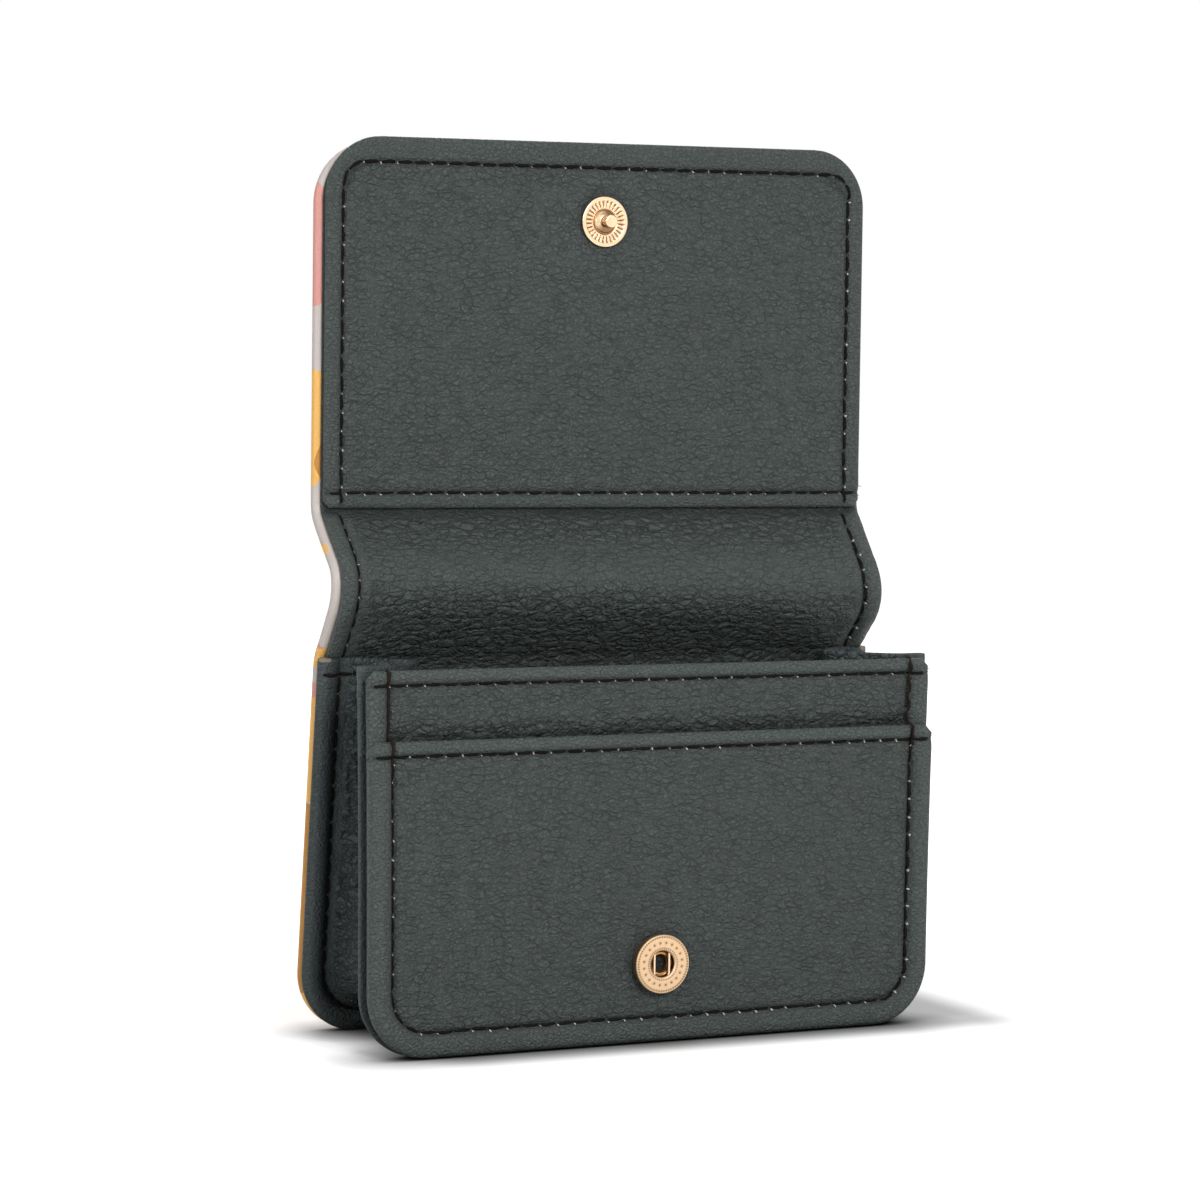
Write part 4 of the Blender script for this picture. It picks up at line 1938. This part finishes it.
@dataclass
class SpringSocket:
    """Socket on the pocket: a ring with rows of stamped dots, a spring of two wires and an eyelet.

    Attributes:
        radius: Outer radius.
        bore: Radius of the bore.
        wire: Thickness of the spring's wire.
        gap: Distance between the wires.
        groove: Radius that the wires reach.
        dots: Radius, number and size of the dots in each row.
    """

    radius: float = 5.25
    bore: float = 2.3
    wire: float = 0.45
    gap: float = 2.45
    groove: float = 3.7
    dots: tuple[tuple[float, int, float], ...] = ((4.8, 64, 0.18), (3.75, 20, 0.22), (2.8, 40, 0.15))

    SIDES, CUP_SIDES = 640, 96
    DOT_DEPTH = 0.07

    def build(self) -> None:
        """Makes the socket and its spring."""
        box = node_box("socket")
        centre = np.array([0.0, box[1, 1], (box[0, 2] + box[1, 2]) / 2])
        rise = box[1, 1] - box[0, 1]
        r, b = self.radius, self.bore
        corners = [
            (b, 0.9), (b, -0.3), (r - 0.35, -0.3), (r - 0.1, rise - 0.5), (r, rise - 0.3), (r - 0.16, rise),
            (b + 0.3, rise), (b, rise - 0.3), (b, 0.9),
        ]
        profile = filleted(corners, (0.1, 0.1, 0.2, 0.08, 0.12, 0.2, 0.15), 0.08)[:-1]
        top = (np.arange(len(profile)) > np.argmax(profile[:, 0])) & (profile[:, 1] > rise - 0.2)

        def stamped(radius: Array, angle: Array) -> Array:
            """Presses the rows of dots into the face."""
            return -self.DOT_DEPTH * self.pits(radius, angle) * top[:, None]

        skin = lathe(profile, self.SIDES, centre, stamped, closed=True)
        reach, angle, height = polar(skin.points, centre)
        inner = fade(reach, b, b + 0.12)
        side = ease(reach, r - 0.5, r - 0.3) * fade(height, rise - 0.5, rise - 0.15)
        pits = self.pits(reach, angle) * (height > rise - 0.2)
        skin.marks["tarnish"] = np.clip(0.9 * inner + 0.6 * side + 0.9 * pits, 0, 1)
        add_piece("snap_socket", skin, GOLD_MATT, Slot.GOLD, Body.FRONT, ["socket"], sharp=55)
        self.build_spring(centre)
        cup = [(1.55, -0.28), (b - 0.06, -0.28), (b - 0.06, 0.75), (b - 0.3, 0.6), (1.6, 0.1), (1.55, -0.28)]
        cup_profile = filleted(cup, (0.05, 0.05, 0.05, 0.2), 0.06)[:-1]
        skin = lathe(cup_profile, self.CUP_SIDES, centre, closed=True)
        add_piece("snap_socket_cup", skin, GOLD_DARK, Slot.GOLD, Body.FRONT)
        dress_node("socket_rivet", GOLD_DARK)

    def pits(self, radius: Array, angle: Array) -> Array:
        """1 in the middle of a stamped dot, 0 away from the dots."""
        total = np.zeros(np.broadcast(radius, angle).shape)
        for ring, count, size in self.dots:
            off = (((angle * count / (2 * math.pi)) % 1) - 0.5) * 2 * math.pi * ring / count
            total = total + np.exp(-(off**2 + (radius - ring) ** 2) / size**2)
        return np.clip(total, 0, 1)

    def build_spring(self, centre: Array) -> None:
        """Makes the U-shaped spring whose two legs cross the bore."""
        box = node_box("socket_spring")
        y = (box[0, 1] + box[1, 1]) / 2
        leg = (self.gap + self.wire) / 2
        reach = math.sqrt((self.groove - self.wire) ** 2 - leg**2)
        corners = [(-leg, reach), (-leg, -reach), (leg, -reach), (leg, reach)]
        line = filleted(corners, (leg - 0.1, leg - 0.1), 0.12)
        path = np.stack([line[:, 0], np.full(len(line), y), line[:, 1] + centre[2]], axis=1)
        skin = tube(path, self.wire / 2, 12)
        add_piece("socket_spring_wire", skin, GOLD, Slot.GOLD, Body.FRONT, ["socket_spring"])


def dress_boards() -> None:
    """Finishes the stiffening boards that lie inside the panels."""
    for node in ("back_board", "flap_board", "front_board"):
        dress_node(node, BOARD)


# Studio


@dataclass(frozen=True)
class Studio:
    """White sweep, soft light and the camera of the photograph.

    The camera stands to the left by the yaw, looks down by the pitch and turns by the roll, in degrees. Its
    distance, target, lens and sensor are in millimetres.
    """

    yaw: float = 26.36
    pitch: float = 3.285
    roll: float = 0.754
    distance: float = 631.448
    target: tuple[float, float, float] = (-12.29, -16.246, 78.03)
    lens: float = 109.31
    sensor: float = 36.0

    def build(self) -> None:
        """Adds camera, floor, world and lamps."""
        self.add_camera()
        self.add_floor()
        self.add_world()
        self.add_lamp("key", (-60.0, -900.0, 480.0), 280.0, 4.9)
        self.add_lamp("side", (-880.0, -360.0, 380.0), 240.0, 2.4)
        self.add_lamp("fill", (620.0, -760.0, 300.0), 500.0, 0.5)
        self.add_lamp("top", (0.0, -150.0, 1000.0), 600.0, 1.5)
        self.add_lamp("back", (240.0, 860.0, 520.0), 420.0, 3.0)

    def add_camera(self) -> None:
        """Adds the camera at the photograph's place."""
        yaw, pitch, roll = (math.radians(angle) for angle in (self.yaw, self.pitch, self.roll))
        ahead = Vector((math.sin(yaw) * math.cos(pitch), math.cos(yaw) * math.cos(pitch), -math.sin(pitch)))
        level = Vector((math.cos(yaw), -math.sin(yaw), 0))
        upright = level.cross(ahead)
        right = level * math.cos(roll) + upright * math.sin(roll)
        up = upright * math.cos(roll) - level * math.sin(roll)
        data = bpy.data.cameras.new("camera")
        data.lens, data.sensor_width = self.lens, self.sensor
        camera = bpy.data.objects.new("camera", data)
        turn = Matrix((right, up, -ahead)).transposed().to_4x4()
        place = Vector(self.target) - ahead * self.distance
        camera.matrix_world = Matrix.Translation(place * MM) @ turn
        bpy.context.scene.collection.objects.link(camera)
        bpy.context.scene.camera = camera

    def add_floor(self) -> None:
        """Adds a white floor that keeps the contact shadow and fades into the white background."""
        mesh = bpy.data.meshes.new("floor")
        size = 3.0
        corners = [(-size, -size, 0), (size, -size, 0), (size, size, 0), (-size, size, 0)]
        mesh.from_pydata(corners, [], [(0, 1, 2, 3)])
        floor = bpy.data.objects.new("floor", mesh)
        floor.location.z = -0.0001
        bpy.context.scene.collection.objects.link(floor)
        material = bpy.data.materials.new("studio_floor")
        material.use_nodes = True
        shader = Shader(material.node_tree)
        place = shader.node("ShaderNodeTexCoord").outputs["Object"]
        beside = shader.vector("SUBTRACT", place, (0.014, 0.004, 0.0))
        past = shader.vector("SUBTRACT", shader.vector("ABSOLUTE", beside), (0.05, 0.02, 0.0))
        past = shader.vector("MAXIMUM", past, (0.0, 0.0, 0.0))
        reach = shader.node("ShaderNodeVectorMath", {0: past}, operation="LENGTH").outputs["Value"]
        near = shader.remap(reach, 0.001, 0.013, (0.0, 0.6))
        far = shader.remap(reach, 0.013, 0.09, (0.0, 0.4))
        corner = shader.node("ShaderNodeAmbientOcclusion", {"Distance": 0.011}, samples=16)
        open_share = shader.math("POWER", corner.outputs["AO"], 2.0)
        glow = shader.math("MULTIPLY", self.seen_ray(shader), shader.math("ADD", near, far))
        glow = shader.math("MULTIPLY", glow, open_share)
        light = shader.node("ShaderNodeEmission", {"Color": (1, 1, 1, 1), "Strength": glow})
        grey = shader.mix(open_share, (0.0, 0.0, 0.0, 1.0), (0.86, 0.86, 0.86, 1.0))
        matt = shader.node("ShaderNodeBsdfDiffuse", {"Color": grey})
        both = shader.node("ShaderNodeAddShader", {0: matt.outputs[0], 1: light.outputs[0]})
        shader.node("ShaderNodeOutputMaterial", {"Surface": both.outputs[0]})
        mesh.materials.append(material)
        floor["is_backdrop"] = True

    @staticmethod
    def seen_ray(shader: Shader) -> Socket:
        """1 for rays from the camera, mirrors and glass, else 0."""
        path = shader.node("ShaderNodeLightPath")
        first = shader.math("MAXIMUM", path.outputs["Is Camera Ray"], path.outputs["Is Glossy Ray"])
        return shader.math("MAXIMUM", first, path.outputs["Is Transmission Ray"])

    def add_world(self) -> None:
        """Adds a white surround that lights softly."""
        world = bpy.data.worlds.new("studio")
        world.use_nodes = True
        shader = Shader(world.node_tree)
        strength = shader.remap(self.seen_ray(shader), 0.0, 1.0, (0.12, 1.0))
        background = shader.node("ShaderNodeBackground", {"Color": (1, 1, 1, 1), "Strength": strength})
        shader.node("ShaderNodeOutputWorld", {"Surface": background.outputs[0]})
        bpy.context.scene.world = world

    def add_lamp(self, name: str, place: tuple[float, float, float], size: float, power: float) -> None:
        """Adds a square soft box aimed at the wallet.

        Args:
            name: Its name.
            place: Its place in millimetres.
            size: Its side in millimetres.
            power: Its power in watts.
        """
        data = bpy.data.lights.new(name, "AREA")
        data.size, data.energy = size * MM, power
        lamp = bpy.data.objects.new(name, data)
        lamp.location = Vector(place) * MM
        aim = Vector((0, 0, 0.07)) - lamp.location
        lamp.rotation_euler = aim.to_track_quat("-Z", "Y").to_euler()
        bpy.context.scene.collection.objects.link(lamp)


def back_foot() -> Array:
    """Y and Z where the lining's inner face meets the ground, from the lining's box."""
    box = node_box("lining_back")
    lean = math.atan2(box[1, 1] - LINING_THICKNESS - FOLD_BACK[0], FOLD_BACK[1])
    return np.array([box[1, 1] - LINING_THICKNESS / math.cos(lean), 0.0])


def main() -> None:
    """Builds the wallet and the studio."""
    Studio().build()
    run = RunForm(back_foot(), FLAP_TOP)
    Cover(run).build()
    Flap(run).build()
    Front().build()
    Gusset(run).build()
    PressStud().build()
    SpringSocket().build()
    dress_boards()
    bpy.context.scene.view_settings.view_transform = "Standard"
    boxes = {"cad": CAD_BOX, "visual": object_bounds()}
    {name: [list(corner) for corner in box] for name, box in boxes.items()}


if __name__ == "__main__":
    main()
